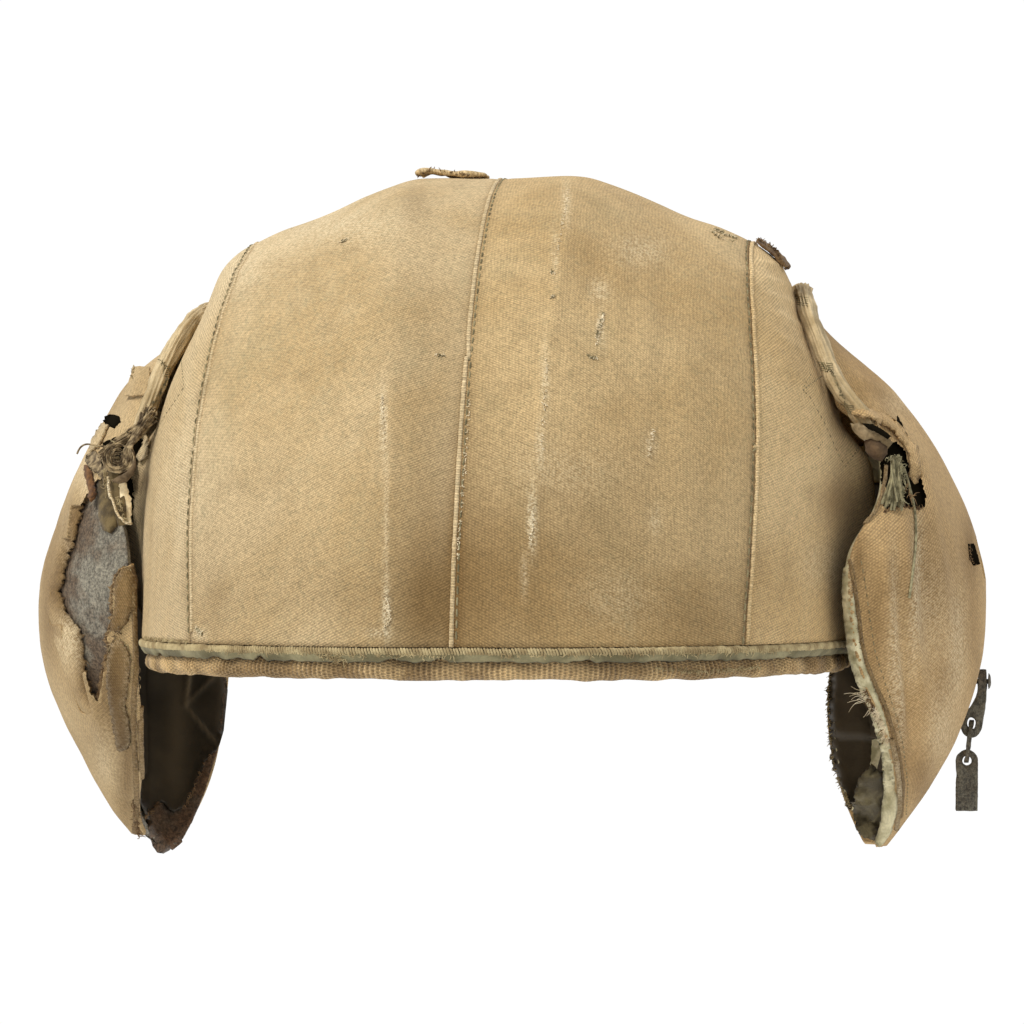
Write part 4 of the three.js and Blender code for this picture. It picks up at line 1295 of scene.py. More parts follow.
def edging(name, route, surface, depth, lift, width, rise, material, wear_and_sheen, grime_and_shade=0.0):
    """A ribbon of flap cloth along a route of pixels, lift millimetres off a flap's surface."""
    places, outs = on_surface(route, surface, depth=depth, lift=lift)
    return ribbon(name, places, outs, width, rise, material, wear_and_sheen, grime_and_shade)


# %% [markdown]
# ## The flaps' layers
#
# A flap is a sandwich: outside cloth, a curved steel plate or a felt pad, and a dark lining. The
# cloth is loose over the plate, so long soft folds run down it.

# %% Folds of the flaps
flap_folds = named_rows(
    "u0 v0 u1 v1 width lift",
    (885, 545, 905, 760, 7, 1.5),
    (903, 520, 922, 700, 6, 1.4),
    (925, 460, 950, 640, 7, 1.2),
    (893, 560, 910, 740, 5, -1.1),
    (913, 500, 936, 690, 6, -1.0),
    (940, 500, 966, 600, 6, 0.5),
    (880, 372, 930, 450, 6, 0.6),
    (858, 375, 890, 395, 4, 0.5),
    (100, 420, 60, 520, 6, 0.6),
    (80, 480, 56, 590, 5, 0.5),
    (78, 640, 118, 790, 8, 0.9),
    (105, 700, 132, 800, 6, -0.6),
    (60, 640, 96, 760, 8, -0.4),
)
print("The flaps have", len(flap_folds), "soft folds")

# %% Worn spots, stains and painted shade of the flaps
flap_wear = named_rows(
    "u v wide tall strength",
    (72, 560, 5, 50, 0.15),
    (74, 640, 12, 26, 0.4),
    (88, 480, 8, 16, 0.4),
    (930, 620, 20, 60, 0.2),
    (958, 650, 10, 60, 0.35),
    (940, 730, 14, 40, 0.35),
    (893, 640, 5, 80, 0.4),
    (900, 700, 4, 50, 0.35),
    (912, 620, 4, 70, 0.25),
    (918, 560, 5, 60, 0.35),
    (900, 400, 16, 16, 0.2),
    (850, 590, 3, 30, 0.3),
    (105, 760, 12, 30, 0.2),
)
# Stains, and painted shade such as the dark in the sound flap's notch.
flap_stains_and_shade = named_rows(
    "u v wide tall strength",
    (58, 540, 16, 70, 0.55),
    (48, 620, 12, 60, 0.6),
    (76, 520, 8, 30, 0.45),
    (112, 395, 22, 26, 0.3),
    (108, 690, 14, 40, 0.75),
    (127, 770, 10, 60, 0.8),
    (80, 690, 16, 20, 0.35),
    (95, 740, 30, 20, 0.25),
    (875, 640, 12, 60, 0.4),
    (898, 740, 10, 60, 0.5),
    (925, 580, 40, 70, 0.5),
    (858, 560, 8, 30, 0.7),
    (920, 780, 12, 30, 0.5),
    (970, 545, 8, 40, 0.5),
    (975, 640, 6, 60, 0.3),
)

# %% The flaps' layers
COVER_RELIEF = [(30, 0.5), (12, 0.25), (5, 0.1)]
FLAP_SHIFT = 0.06  # the flaps show further back than the crown


def flap_part(node, name, material, crease=0.5):
    """A layer of a flap, smoothed, folded, painted and mapped."""
    piece = skin(node, name, crease)
    points = points_of(piece)
    shown = faces_camera(points, FLAP_SHIFT)
    pixels = pixels_of(points)
    side = 1 if points[:, 0].mean() > 0 else -1
    outward = (points - np.array([EAR_AXIS[0] * side, EAR_AXIS[1], 0])) * np.array([1, 0.6, 0])
    outward /= np.linalg.norm(outward, axis=1, keepdims=True)
    relief = crumple(points, COVER_RELIEF) + folds(pixels, flap_folds) * shown
    move_points(piece, points + outward * relief[:, None] * MM)
    paint(piece, "wear_and_sheen", blots(pixels, flap_wear) * shown)
    # Stains and painted shade from the table.
    paint(piece, "grime_and_shade", blots(pixels, flap_stains_and_shade) * shown)
    lay_map(piece, *flap_map(points))
    settle(piece, material)
    return piece


cover_right = flap_part("flap_cover_right", "flap_cloth_right", right_flap_twill)
cover_left = flap_part("flap_cover_left", "flap_cloth_left", left_flap_twill)
plate_right = flap_part("flap_plate_right", "flap_steel_right", plate_steel, 1.0)
flap_part("flap_lining_right", "flap_inside_right", dark_lining)
lining_left = flap_part("flap_lining_left", "flap_inside_left", dark_lining)
pad_left = flap_part("flap_pad_left", "flap_felt_left", felt_wool)
flap_part("lining_fold_left", "folded_lining", folded_cloth, 0.3)

# %% The felt's shadow and the surfaces that marks land on
# The felt takes none of the cover's stains and painted shade; its only dark is a painted shadow
# where the torn hinge shades it.
pad_shadows = [{"u": 908, "v": 488, "wide": 20, "tall": 26, "strength": 1.2}]
pad_left.data.attributes.remove(pad_left.data.attributes["grime_and_shade"])
paint(pad_left, "grime_and_shade", blots(pixels_of(points_of(pad_left)), pad_shadows))
right_cloth = surface_of(cover_right)
left_cloth = surface_of(cover_left)
plate_surface = surface_of(plate_right)
inside_left_surface = surface_of(lining_left, pad_left, cover_left)

# %% [markdown]
# ## The worn-through flap
#
# On the wearer's right the cloth has worn through to the plate. The ragged window is torn through
# the cover, a curled and rusted hem is laid round it, and loose threads stand off its edge. The hem
# needs the plate's surface under it, so it is laid on that and lifted by the cover's thickness.

# %% The window and its hem
random.seed(11)
OVER_PLATE = 2.2  # millimetres from the plate to the outside of the cover
WINDOW_DEEPEST = 20 * MM
WINDOW_REACH = 12  # millimetres to both sides of the cloth
LEFT_EDGE_DEPTH = -0.02
RIGHT_EDGE_DEPTH = -0.035
window_left = [
    (98, 484), (90, 496), (84, 506), (79, 532), (71, 556), (67, 572), (62, 592), (66, 606), (73, 620),
    (82, 628), (85, 646), (86, 666), (92, 690), (98, 697),
]
window_right = [
    (98, 697), (102, 678), (103, 668), (110, 648), (106, 638), (113, 620), (112, 600), (114, 580),
    (121, 570), (132, 563),
]
window_end = [(150, 556), (150, 500), (128, 480)]
hem_buried = [
    (135, 566), (131, 600), (131, 640), (126, 684), (118, 714), (100, 724), (82, 714), (68, 690), (58, 660),
    (48, 634), (45, 604), (47, 576), (54, 548), (62, 520), (72, 498), (84, 480),
]
window_torn = window_left + window_right[1:]
window_hole = grown(window_torn + window_end, 1.12, 1.05)
both_layers = surface_of(cover_right, plate_right)
tear(cover_right, window_hole, both_layers, WINDOW_REACH, deepest=WINDOW_DEEPEST)
window_hem = laid("window_hem", window_torn, plate_surface, right_flap_twill,
                  buried=hem_buried, lift=OVER_PLATE, curl=-1.0, jitter=0.9, grime_and_shade=0.9, rough=0.3,
                  deepest=WINDOW_DEEPEST)
hem_surface = surface_of(window_hem)
rust_routes = fringes(
    (window_left, hem_surface, LEFT_EDGE_DEPTH, 150, 1.6, (0.4, 0.6), 0.8),
    (window_right, hem_surface, RIGHT_EDGE_DEPTH, 110, 1.8, (-0.5, 0.4), 0.8),
)
threads("window_frays", rust_routes, 0.13 * MM, rusty_cloth)

# %% Strips along the front edge
EDGE_DEPTH = -0.044
PATCH_DEPTH = -0.04
front_strip = [
    (136, 562), (134, 585), (134, 612), (135, 640), (136, 670), (134, 700), (134, 735), (136, 770),
    (137, 800), (135, 832),
]
front_edge = [
    (139, 566), (139, 600), (141, 632), (142, 664), (141, 700), (141, 740), (142, 772), (141, 800),
]
edging("front_strip_inner", front_strip, right_cloth, EDGE_DEPTH, 0.2, 1.7, 0.7, hem_twill, 0.06, 0.2)
edging("front_strip_outer", front_edge, right_cloth, EDGE_DEPTH + MM, -0.1, 1.5, 0.9, hem_twill, 0.1, 0.15)
front_row = [(137.5, v) for v in range(575, 770, 6)]
places, outs = on_surface(front_row, right_cloth, 0.4 * MM, EDGE_DEPTH, 0.9)
edge_routes = stitched(places, outs, 1.6, 1.2)
edge_routes += fringe(front_strip, right_cloth, EDGE_DEPTH, 90, 1.4, (-0.6, 0.5), 0.9)
torn_step = [(112, 618), (122, 626), (114, 640), (108, 650)]
edge_routes += fringe(torn_step, right_cloth, PATCH_DEPTH, 60, 2.4, (-0.3, 0.8), 1.0)
threads("front_edge_threads", edge_routes, 0.14 * MM, cord_fibre)

# %% Patches along the front edge
patch_outline = [
    (113, 643), (121, 640), (128, 646), (131, 656), (130, 672), (128, 690), (125, 702), (130, 720),
    (131, 742), (128, 748), (118, 749), (117, 738), (114, 722), (110, 700), (108, 680), (109, 660),
]
patch = laid("worn_patch", patch_outline, right_cloth, hem_twill, lift=0.9, curl=0.2,
             wear_and_sheen=0.15)
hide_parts("flap_patch_right")
upper_scrap = [
    (116, 584), (122, 572), (131, 566), (135, 580), (134, 606), (128, 622), (120, 632), (112, 630),
    (116, 612),
]
laid("upper_scrap", upper_scrap, right_cloth, hem_twill, lift=0.7, curl=0.3, wear_and_sheen=0.05,
     grime_and_shade=0.4, deepest=-10 * MM)
scrap_frays = fringes(
    ([*upper_scrap, upper_scrap[0]], right_cloth, PATCH_DEPTH, 70, 1.6, (-0.4, 0.6), 0.9),
    ([*patch_outline, patch_outline[0]], right_cloth, PATCH_DEPTH, 110, 1.3, (0, 0.5), 0.9),
)
threads("patch_frays", scrap_frays, 0.13 * MM, pale_thread)

# %% [markdown]
# ## Lining and bare tip
#
# Inside, a dark lining is stretched over the plate and has worn away at the bottom, where its edge
# frays into a yellow-brown rope of threads over the bare, rusty tip. It is one ragged piece, laid
# on the plate's inner side, and its three creases meet in a point.

# %% The dark lining
random.seed(12)
lining_creases = named_rows(
    "u0 v0 u1 v1 width lift",
    (190, 640, 183, 708, 2.4, 1.3),
    (183, 708, 218, 750, 1.8, 0.8),
    (183, 708, 222, 668, 1.8, 0.7),
    (176, 650, 172, 800, 12, 0.5),
)
lining_torn = [
    (219, 748), (211, 757), (203, 764), (199, 777), (191, 795), (181, 811), (172, 815), (164, 808),
    (158, 804), (151, 812), (143, 818),
]
lining_buried = [
    (138, 800), (138, 740), (136, 680), (140, 640), (180, 632), (222, 640), (228, 690), (224, 730),
]
# A shine is painted along the lining's creases.
lining_cloth = laid("lining_cloth", lining_torn, plate_surface, dark_lining,
                    buried=lining_buried, lift=1.9, curl=0.4, wall=1.0, spacing=3,
                    creases=lining_creases, shine=0.35, rough=0.12)

# %% The bare tip and its frays
ROPE_DEPTH = 0.03
TIP_DEPTH = 0.02
tip_outline = [
    (144, 812), (148, 828), (153, 845), (158, 852), (164, 853), (174, 847), (183, 838), (192, 822),
    (199, 806), (205, 790), (210, 774), (217, 752), (221, 730), (224, 700), (225, 668), (218, 664),
    (210, 690), (200, 740), (180, 780), (158, 790),
]
laid("rusty_tip", tip_outline, plate_surface, rusty_plate, lift=0.8, curl=0, wall=1.2,
     jitter=0.1, rough=0.05)
lining_surface = surface_of(lining_cloth)
rope_back = [(204, 764), (212, 756), (220, 750)]
rope_front = [(137, 800), (146, 812), (158, 806)]
rope_routes = fringes(
    (lining_torn, lining_surface, ROPE_DEPTH, 420, 1.6, (0.1, 0.5), 1.1),
    (rope_back, lining_surface, ROPE_DEPTH + 10 * MM, 160, 2.2, (0, 0.2), 1.4),
    (rope_front, lining_surface, -TIP_DEPTH, 160, 3.0, (0.2, 0.3), 1.4),
)
threads("lining_frays", rope_routes, 0.15 * MM, rusty_cloth)
tip_edge = [(134, 800), (136, 820), (140, 838), (148, 846)]
tip_routes = fringe(tip_edge, right_cloth, TIP_DEPTH, 160, 3.2, (0.3, 0.7), 1.2)
threads("tip_frays", tip_routes, 0.15 * MM, rusty_cloth)

# %% [markdown]
# ## The torn hinge
#
# Where the roll ends over the ear the cloth has come apart into cords. Each cord is a wavy route
# that starts in the roll's end, sags across the gap and curls round into the nest. They are thin
# and many, so the nest reads as fibres and not as tubes.

# %% A nest of cords
random.seed(21)
nest_low, nest_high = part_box("hinge_cords_right")
NEST_DEPTH = (nest_low.y + nest_high.y) / 2
HINGE_DEPTH = -0.04
nest_path = [(152, 416), (142, 430), (128, 438), (112, 446), (99, 455)]
swirl = {"u": 118, "v": 458, "wide": 16, "tall": 15}


def crossing_cord(share):
    """A cord that crosses the nest from the roll's end down to the flap's torn edge."""
    aside = random.gauss(0, 2.6)
    steps = random.randint(3, 5)
    route = []
    for u, v in nest_path[:steps]:
        spot = u + random.gauss(0, 1.5), v + aside + random.gauss(0, 1.5)
        route.append((at_depth(*spot, NEST_DEPTH + random.gauss(-1.0, 1.4) * MM), share))
    return route


def swirling_cord(share):
    """A cord that leaves the roll's end and winds round the nest's hollow."""
    size = random.uniform(0.25, 1.05)
    route = []
    for u, v in ((150, 412), (143, 426)):
        spot = u + random.gauss(0, 3.5), v + random.gauss(0, 3)
        route.append((at_depth(*spot, NEST_DEPTH + random.gauss(0, 1.4) * MM), share))
    step = random.uniform(0.45, 0.6)
    for k in range(random.randint(5, 12)):
        angle = -0.9 + k * step
        u = swirl["u"] + swirl["wide"] * size * math.cos(angle) + random.gauss(0, 0.5)
        v = swirl["v"] + swirl["tall"] * size * math.sin(angle) + random.gauss(0, 0.5)
        depth = NEST_DEPTH + (2.5 * (1 - size) - 6.5 + random.gauss(0, 0.8)) * MM
        route.append((at_depth(u, v, depth), share * (1 - 0.05 * k)))
    return route


stray = [(110, 447), (97, 446), (90, 444), (84, 444), (79, 448), (77, 454)]
nest_routes = [crossing_cord(random.uniform(0.5, 1.1)) for _ in range(18)]
nest_routes += [swirling_cord(random.uniform(0.5, 1.2)) for _ in range(105)]
nest_routes.append([(at_depth(u, v, NEST_DEPTH), 0.9) for u, v in stray])
threads("cord_nest", nest_routes, 0.34 * MM, cord_fibre, ["hinge_cords_right"])
fuzz_routes = fringes(
    (nest_path[:4], None, NEST_DEPTH, 80, 3.6, (-0.5, 0.6), 1.2),
    ([(104, 470), (108, 490), (112, 478)], None, NEST_DEPTH, 50, 3.4, (0.1, 0.9), 0.9),
)
threads("nest_fuzz", fuzz_routes, 0.14 * MM, pale_thread)

# %% Painted shadows and scraps round the hinge
HINGE_DEEPEST = -4 * MM
# Near-black sheets are laid as painted shadow in the hinge's hole and the nest's hollow.
hinge_hole = [(105, 417), (111, 414), (119, 416), (121, 422), (115, 428), (107, 426), (103, 421)]
laid("hole_shadow", hinge_hole, right_cloth, shadow_cloth, lift=0.25, curl=0, wall=0.5,
     rough=0, deepest=HINGE_DEEPEST)
nest_shadow = [
    (103, 443), (116, 437), (132, 432), (142, 440), (139, 460), (127, 476), (112, 476), (102, 464),
]
laid("nest_shadow", nest_shadow, right_cloth, shadow_cloth, lift=0.3, curl=0, wall=0.6,
     rough=0.1, depth=NEST_DEPTH + 6 * MM, deepest=NEST_DEPTH + 12 * MM)
pale_scrap = [(104, 425), (110, 427), (105, 438), (99, 449), (92, 453), (95, 441)]
laid("pale_scrap", pale_scrap, right_cloth, right_flap_twill, lift=0.8, curl=0.4,
     wear_and_sheen=0.25, rough=0.1, deepest=HINGE_DEEPEST)
rag_outline = [(88, 455), (96, 452), (106, 460), (110, 474), (106, 484), (99, 474), (92, 468), (87, 464)]
laid("torn_rag", rag_outline, right_cloth, cord_fibre, lift=0.5, curl=0.4, wall=0.8,
     grime_and_shade=0.3, rough=0.5, deepest=-12 * MM)

# %% The tongue and the curls beside it
strip_low, strip_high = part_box("hinge_strip_right")
STRIP_DEPTH = (strip_low.y + strip_high.y) / 2
tongue, points = rough_skin("hinge_strip_right", "olive_tongue", 0.4, [(9, 0.3), (3, 0.12)])
tongue_edge = [(103, 490), (103, 515), (107, 530)]
# A painted highlight lightens the tongue's left edge.
paint(tongue, "wear_and_sheen", 0.5 * near_route(pixels_of(points), tongue_edge, 1.6))
lay_map(tongue, *flap_map(points))
settle(tongue, tongue_cloth)
tongue_outline = [
    (101, 474), (108, 478), (114, 494), (118, 512), (118, 526), (112, 534), (105, 531), (101, 516),
    (99, 494),
]
laid("olive_tongue_tip", tongue_outline, plate_surface, tongue_cloth, lift=1.6,
     curl=-0.5, jitter=0.3, rough=0.15, deepest=-20 * MM)
cream = [
    (119, 484), (125, 481), (128, 490), (131, 499), (132, 511), (131, 524), (127, 520), (123, 508),
    (120, 497),
]
brown_curl = [
    (111, 481), (117, 477), (125, 473), (131, 467), (135, 458), (137, 464), (134, 474), (127, 482),
    (119, 484),
]
laid("cream_scrap", cream, None, cream_cloth, lift=0.6, curl=-0.4, wall=0.8, wear_and_sheen=0.2,
     rough=0.15, depth=STRIP_DEPTH - 2 * MM)
laid("brown_curl", brown_curl, None, dark_fold, lift=1.2, curl=-1.2, jitter=0.2,
     wear_and_sheen=0.3, depth=STRIP_DEPTH - 4 * MM)
# A near-black sheet laid as painted shadow in the gap beside the tongue.
gap_shadow = [
    (112, 482), (126, 480), (131, 476), (133, 484), (134, 500), (133, 522), (129, 526), (124, 522),
    (118, 505),
]
laid("hinge_gap_shadow", gap_shadow, None, shadow_cloth, lift=0, curl=0, wall=0.6, rough=0.1,
     depth=STRIP_DEPTH + 2 * MM)
sliver = [(88, 467), (93, 472), (96, 486), (97, 496), (94, 503), (91, 500), (91, 488), (87, 476)]
laid("rusty_sliver", sliver, right_cloth, rust_red, lift=1.0, curl=0.2, wall=0.8,
     rough=0.5, deepest=-8 * MM)
strip_surface = surface_of(nodes["hinge_strip_right"], nodes["flap_cover_right"])
piping = [(111, 478), (114, 496), (119, 512), (126, 524), (131, 525)]
edging("hinge_piping", piping, strip_surface, HINGE_DEPTH, 1.6, 0.7, 0.5, side_right_twill, 0.6)

# %% The hinge's tab, gusset and frays
tab, points = rough_skin("hinge_tab_right", "hinge_tab", 0.4, [(8, 0.5), (3, 0.25)])
paint(tab, "grime_and_shade", np.full(len(points), 0.2))
lay_map(tab, *flap_map(points))
settle(tab, right_flap_twill)
tab_surface = surface_of(tab)
torn_gusset = [(141, 430), (148, 433), (152, 445), (149, 458), (143, 463), (139, 456), (143, 444)]
laid("torn_gusset", torn_gusset, crown_surface, side_right_twill, lift=0.8, wall=0.7,
     wear_and_sheen=0.35, rough=0.15, deepest=10 * MM)
scraps = fringes(
    ([(112, 481), (127, 479), (133, 462)], strip_surface, HINGE_DEPTH, 40, 1.6, (0.2, 0.4), 1.0),
    ([(119, 498), (124, 520), (131, 522)], strip_surface, HINGE_DEPTH, 40, 2.0, (-0.2, 0.6), 0.9),
    ([(92, 456), (103, 427)], right_cloth, -0.03, 40, 1.8, (-0.6, 0.2), 0.9),
    ([(132, 384), (134, 366), (150, 364)], tab_surface, -0.02, 40, 1.0, (-0.3, -0.5), 0.9),
    ([*torn_gusset, torn_gusset[0]], crown_surface, HINGE_DEPTH, 40, 1.6, (-0.3, 0.4), 0.9),
)
threads("scrap_frays", scraps, 0.12 * MM, pale_thread)

# %% [markdown]
# ## The sound flap
#
# On the wearer's left the cover is whole but torn at the top, where grey webbing shows, and frayed
# all down its front edge over the felt. A second row of stitches runs inside that edge.

# %% Tears and webbing at the top of the sound flap
random.seed(31)
web_low, web_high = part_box("hinge_cords_left")
WEB_DEPTH = (web_low.y + web_high.y) / 2
WEB_FRONT = WEB_DEPTH - 2 * MM
WEB_DEEPEST = -12 * MM
web_opening = [
    (884, 456), (889, 444), (897, 441), (904, 450), (909, 466), (911, 477), (914, 484), (919, 475),
    (923, 484), (926, 495), (925, 507), (914, 509), (900, 507), (888, 510), (883, 506), (886, 488),
]
small_tear = [(897, 416), (901, 423), (905, 432), (897, 431)]
tear(cover_left, web_opening, left_cloth, deepest=WEB_DEEPEST)
# Near-black sheets laid as painted shadow in the small tear and behind the webbing.
laid("small_tear_shadow", small_tear, left_cloth, shadow_cloth, lift=0.25, curl=0,
     wall=0.5, jitter=0.3, rough=0, deepest=2 * MM)
laid("webbing_shadow", grown(web_opening, 1.15, 1.1), surface_of(pad_left), shadow_cloth,
     curl=0, wall=0.6, rough=0.1, deepest=WEB_DEEPEST)
web_top = {"u": 890, "v": 457, "wide": 9, "tall": 6}
web_foot = {"u": 884, "v": 502, "wide": 19, "tall": 9}


def webbing_yarn():
    """A slack yarn of the torn webbing, from the top of its opening to the foot."""
    start, end = [
        (area["u"] + area["wide"] * random.random(), area["v"] + area["tall"] * random.random())
        for area in (web_top, web_foot)
    ]
    route = []
    for t in (0, 0.25, 0.5, 0.75, 1):
        u = start[0] + (end[0] - start[0]) * t + random.gauss(0, 0.7)
        v = start[1] + (end[1] - start[1]) * t
        depth = WEB_DEPTH + (random.gauss(0, 1.0) - 1.5 * math.sin(math.pi * t)) * MM
        route.append((at_depth(u, v, depth), random.uniform(0.7, 1.1)))
    return route


webbing_routes = [webbing_yarn() for _ in range(30)]
threads("webbing_yarns", webbing_routes, 0.45 * MM, green_thread, ["hinge_cords_left"])
web_edge = [(888, 458), (900, 456), (904, 480), (902, 505)]
web_fuzz = fringe(web_edge, None, WEB_FRONT, 90, 2.6, (0.1, 0.8), 1.0)
threads("webbing_fuzz", web_fuzz, 0.13 * MM, green_thread)

# %% The torn lip and the roll's folded end
LIP_DEPTH = -0.04
hanging_strip = [
    (852, 415), (858, 416), (866, 419), (879, 425), (891, 433), (897, 442), (903, 450), (907, 458),
    (907, 470), (911, 486), (921, 504), (917, 488), (917, 470), (914, 450),
]
strip_buried = [(912, 440), (903, 426), (890, 414), (874, 408), (862, 408), (852, 411)]
hanging = laid("torn_lip", hanging_strip, surface_of(cover_left, nodes["arch_roll_left"]),
               left_flap_twill, buried=strip_buried, lift=1.0, curl=0.9, grime_and_shade=0.2, wear_and_sheen=0.1,
               deepest=WEB_DEEPEST)
roll_end = [(864, 441), (871, 437), (881, 439), (889, 445), (887, 454), (882, 462), (874, 460), (866, 453)]
laid("folded_roll_end", roll_end, None, rusty_roll, lift=2.2, curl=-2.0, wall=2.0,
     jitter=0.3, spacing=3, depth=WEB_DEPTH)
roll_fold = [
    (850, 423), (860, 424), (872, 428), (884, 434), (893, 443), (888, 448), (880, 441), (870, 439),
    (862, 440), (855, 433),
]
laid("roll_end_fold", roll_fold, None, roll_lip, lift=2.6, curl=-1.4, wall=1.2,
     jitter=0.4, spacing=3, rough=0.35, depth=WEB_DEPTH)
under_lip = [(862, 423), (872, 424), (882, 429), (891, 436), (888, 439), (878, 433), (868, 429)]
laid("lip_shadow", under_lip, None, shadow_cloth, lift=3.4, curl=-0.4, wall=0.8,
     jitter=0.3, spacing=3, rough=0.1, depth=WEB_DEPTH)
lip_frays = fringes(
    (hanging_strip[:11], surface_of(hanging), -0.035, 120, 1.5, (0, 0.8), 0.9),
    ([(905, 477), (912, 500)], None, WEB_FRONT, 8, 4, (0.1, 1), 0.4),
)
web_sill = [(884, 512), (892, 509), (902, 506), (915, 510), (922, 508)]
lip_frays += fringes(
    (web_sill, left_cloth, LIP_DEPTH, 80, 1.2, (0, -0.8), 0.9),
    ([(969, 545), (970, 560), (976, 566)], left_cloth, None, 24, 0.9, (0.2, 0.3), 0.9),
)
threads("lip_frays", lip_frays, 0.13 * MM, rusty_cloth)

# %% The notch in the side and the green thread
# The solid's notch lies a little further back, so a near-black scrap, a painted shadow, marks
# the one that the photograph shows.
NOTCH_DEEPEST = 16 * MM
notch = [(968, 544), (974, 544), (976, 549), (978, 557), (980, 564), (973, 566), (969, 557)]
laid("notch_shadow", notch, left_cloth, shadow_cloth, lift=0.1, curl=0, wall=0.4,
     jitter=0.2, rough=0, deepest=NOTCH_DEEPEST)
green_route = [
    (903, 468), (908, 482), (913, 500), (915, 520), (915, 542), (913, 562), (911, 582), (909, 598),
]
green_places, _ = on_surface(green_route, left_cloth, 3 * MM, WEB_DEPTH, 0.35)
threads("green_thread", [[(place, 1) for place in green_places]], 0.42 * MM, green_thread)

# %% The felt and the hems of the sound flap
random.seed(32)
FRONT_DEPTH = -0.05
cover_edge = [
    (850, 560), (854, 584), (858, 612), (861, 640), (866, 662), (873, 680), (884, 704), (892, 728),
    (899, 756), (903, 786), (901, 816),
]
inner_row = [
    (861, 560), (866, 590), (870, 620), (875, 652), (884, 680), (895, 712), (903, 745), (908, 785),
    (906, 815),
]
felt_outline = [
    (844, 568), (850, 564), (853, 590), (857, 620), (860, 645), (866, 668), (876, 692), (885, 718),
    (892, 750), (895, 785), (894, 815), (888, 836), (880, 847), (875, 842), (881, 820), (884, 790),
    (882, 756), (876, 730), (868, 706), (857, 684), (849, 660), (845, 625), (842, 590),
]
felt_edge = laid("felt_edge", felt_outline, surface_of(cover_left, pad_left), felt_wool,
                 lift=0.5, curl=-0.3, wall=1.4, jitter=0.25, wear_and_sheen=0.1, deepest=-5 * MM)
edging("cover_hem", cover_edge, left_cloth, FRONT_DEPTH, 0.2, 1.2, 0.5, hem_twill, 0.05, 0.3)
flap_lip_route = [(887, 466), (886, 480), (882, 496), (876, 510), (867, 522), (856, 533), (847, 541)]
edging("flap_lip_edge", flap_lip_route, left_cloth, LIP_DEPTH, 0.3, 1.1, 0.5, hem_twill, 0.1, 0.2)
second_layer = [(891, 738), (896, 760), (899, 784), (899, 806), (896, 828)]
edging("second_hem", second_layer, left_cloth, LIP_DEPTH, 0.5, 1.5, 0.7, hem_twill, 0.25, 0.1)

# %% Frays and stitches of the sound flap
frayed_stretch = [(866, 690), (873, 706), (880, 725), (887, 750)]
frayed_tip = [(884, 826), (892, 838), (898, 832)]
edge_frays = fringes(
    (cover_edge, left_cloth, FRONT_DEPTH, 320, 1.7, (-0.8, 0.4), 0.8),
    (frayed_stretch, left_cloth, FRONT_DEPTH, 170, 2.6, (-0.4, 0.9), 0.7),
    (frayed_tip, left_cloth, LIP_DEPTH, 60, 1.8, (0, 0.8), 0.9),
)
threads("cover_edge_frays", edge_frays, 0.14 * MM, rusty_cloth)
row_stitches = stitched(*on_surface(inner_row, left_cloth, 0.4 * MM), 1.5, 0.9)
threads("inner_row_stitches", row_stitches, 0.16 * MM, seam_thread)
felt_surface = surface_of(felt_edge)
long_threads = fringes(
    ([(866, 690), (868, 694)], felt_surface, FRONT_DEPTH, 4, 7.5, (-1, -0.4), 0.25),
    ([(870, 696), (873, 700)], felt_surface, FRONT_DEPTH, 6, 9.0, (-1, 0.0), 0.25),
    ([(872, 706), (878, 716)], felt_surface, FRONT_DEPTH, 12, 4.0, (-0.5, 0.9), 0.3),
    ([(874, 706), (882, 722), (889, 744)], felt_surface, FRONT_DEPTH, 80, 2.4, (-0.95, 0.5), 0.25),
)
threads("long_threads", long_threads, 0.12 * MM, fray_thread)

# %% Lining of the sound flap
INSIDE_DEPTH = 0.06
FOLD_DEPTH = 0.02
inside_torn = [
    (832, 664), (829, 690), (829, 712), (831, 740), (833, 760), (838, 778), (845, 794), (851, 808),
]
inside_buried = [(858, 800), (872, 770), (874, 740), (868, 704), (858, 680), (848, 664)]
inside_cloth = laid("inside_cloth_left", inside_torn, inside_left_surface, dark_lining,
                    buried=inside_buried, lift=0.9, curl=0.2, wall=1.0, rough=0.15)
inside_frays = fringe(inside_torn, surface_of(inside_cloth), INSIDE_DEPTH, 150, 1.5, (-0.9, 0.7), 0.5)
threads("inside_frays", inside_frays, 0.15 * MM, pale_thread)
fold_outline = [
    (861, 774), (870, 766), (880, 776), (884, 798), (881, 822), (874, 838), (866, 838), (859, 828),
    (855, 806), (856, 788),
]
fold_surface = surface_of(nodes["lining_fold_left"], nodes["flap_cover_left"])
laid("lining_fold", fold_outline, fold_surface, folded_cloth, lift=0.8, curl=0.2,
     wall=1.0, rough=0.15, deepest=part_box("lining_fold_left")[1].y + 2 * MM)
fold_edge = [(861, 774), (856, 790), (855, 806), (859, 828)]
fold_frays = fringe(fold_edge, fold_surface, FOLD_DEPTH, 60, 1.0, (-0.6, 0.3), 0.6)
threads("fold_stitches", fold_frays, 0.18 * MM, green_thread)

# %% [markdown]
# ## The rolls over the ears
#
# A roll is a tube of cloth packed with wadding. Its cover is pulled along its length, so pleats run
# lengthwise, and where a stitch is drawn tight the roll is pinched and the pleats fan out from it.

# %% How a roll is shaped
random.seed(41)
ARCH_MIDDLE = np.array([18, 55]) * MM
rolls = [
    {"node": "arch_roll_left", "name": "ear_roll_left", "pinches": [(825, 366), (800, 300), (846, 408)]},
    {"node": "arch_roll_right", "name": "ear_roll_right", "pinches": [(170, 372), (150, 412)]},
]
END_REACH = 0.16  # radians of the arch over which a roll's end rounds off


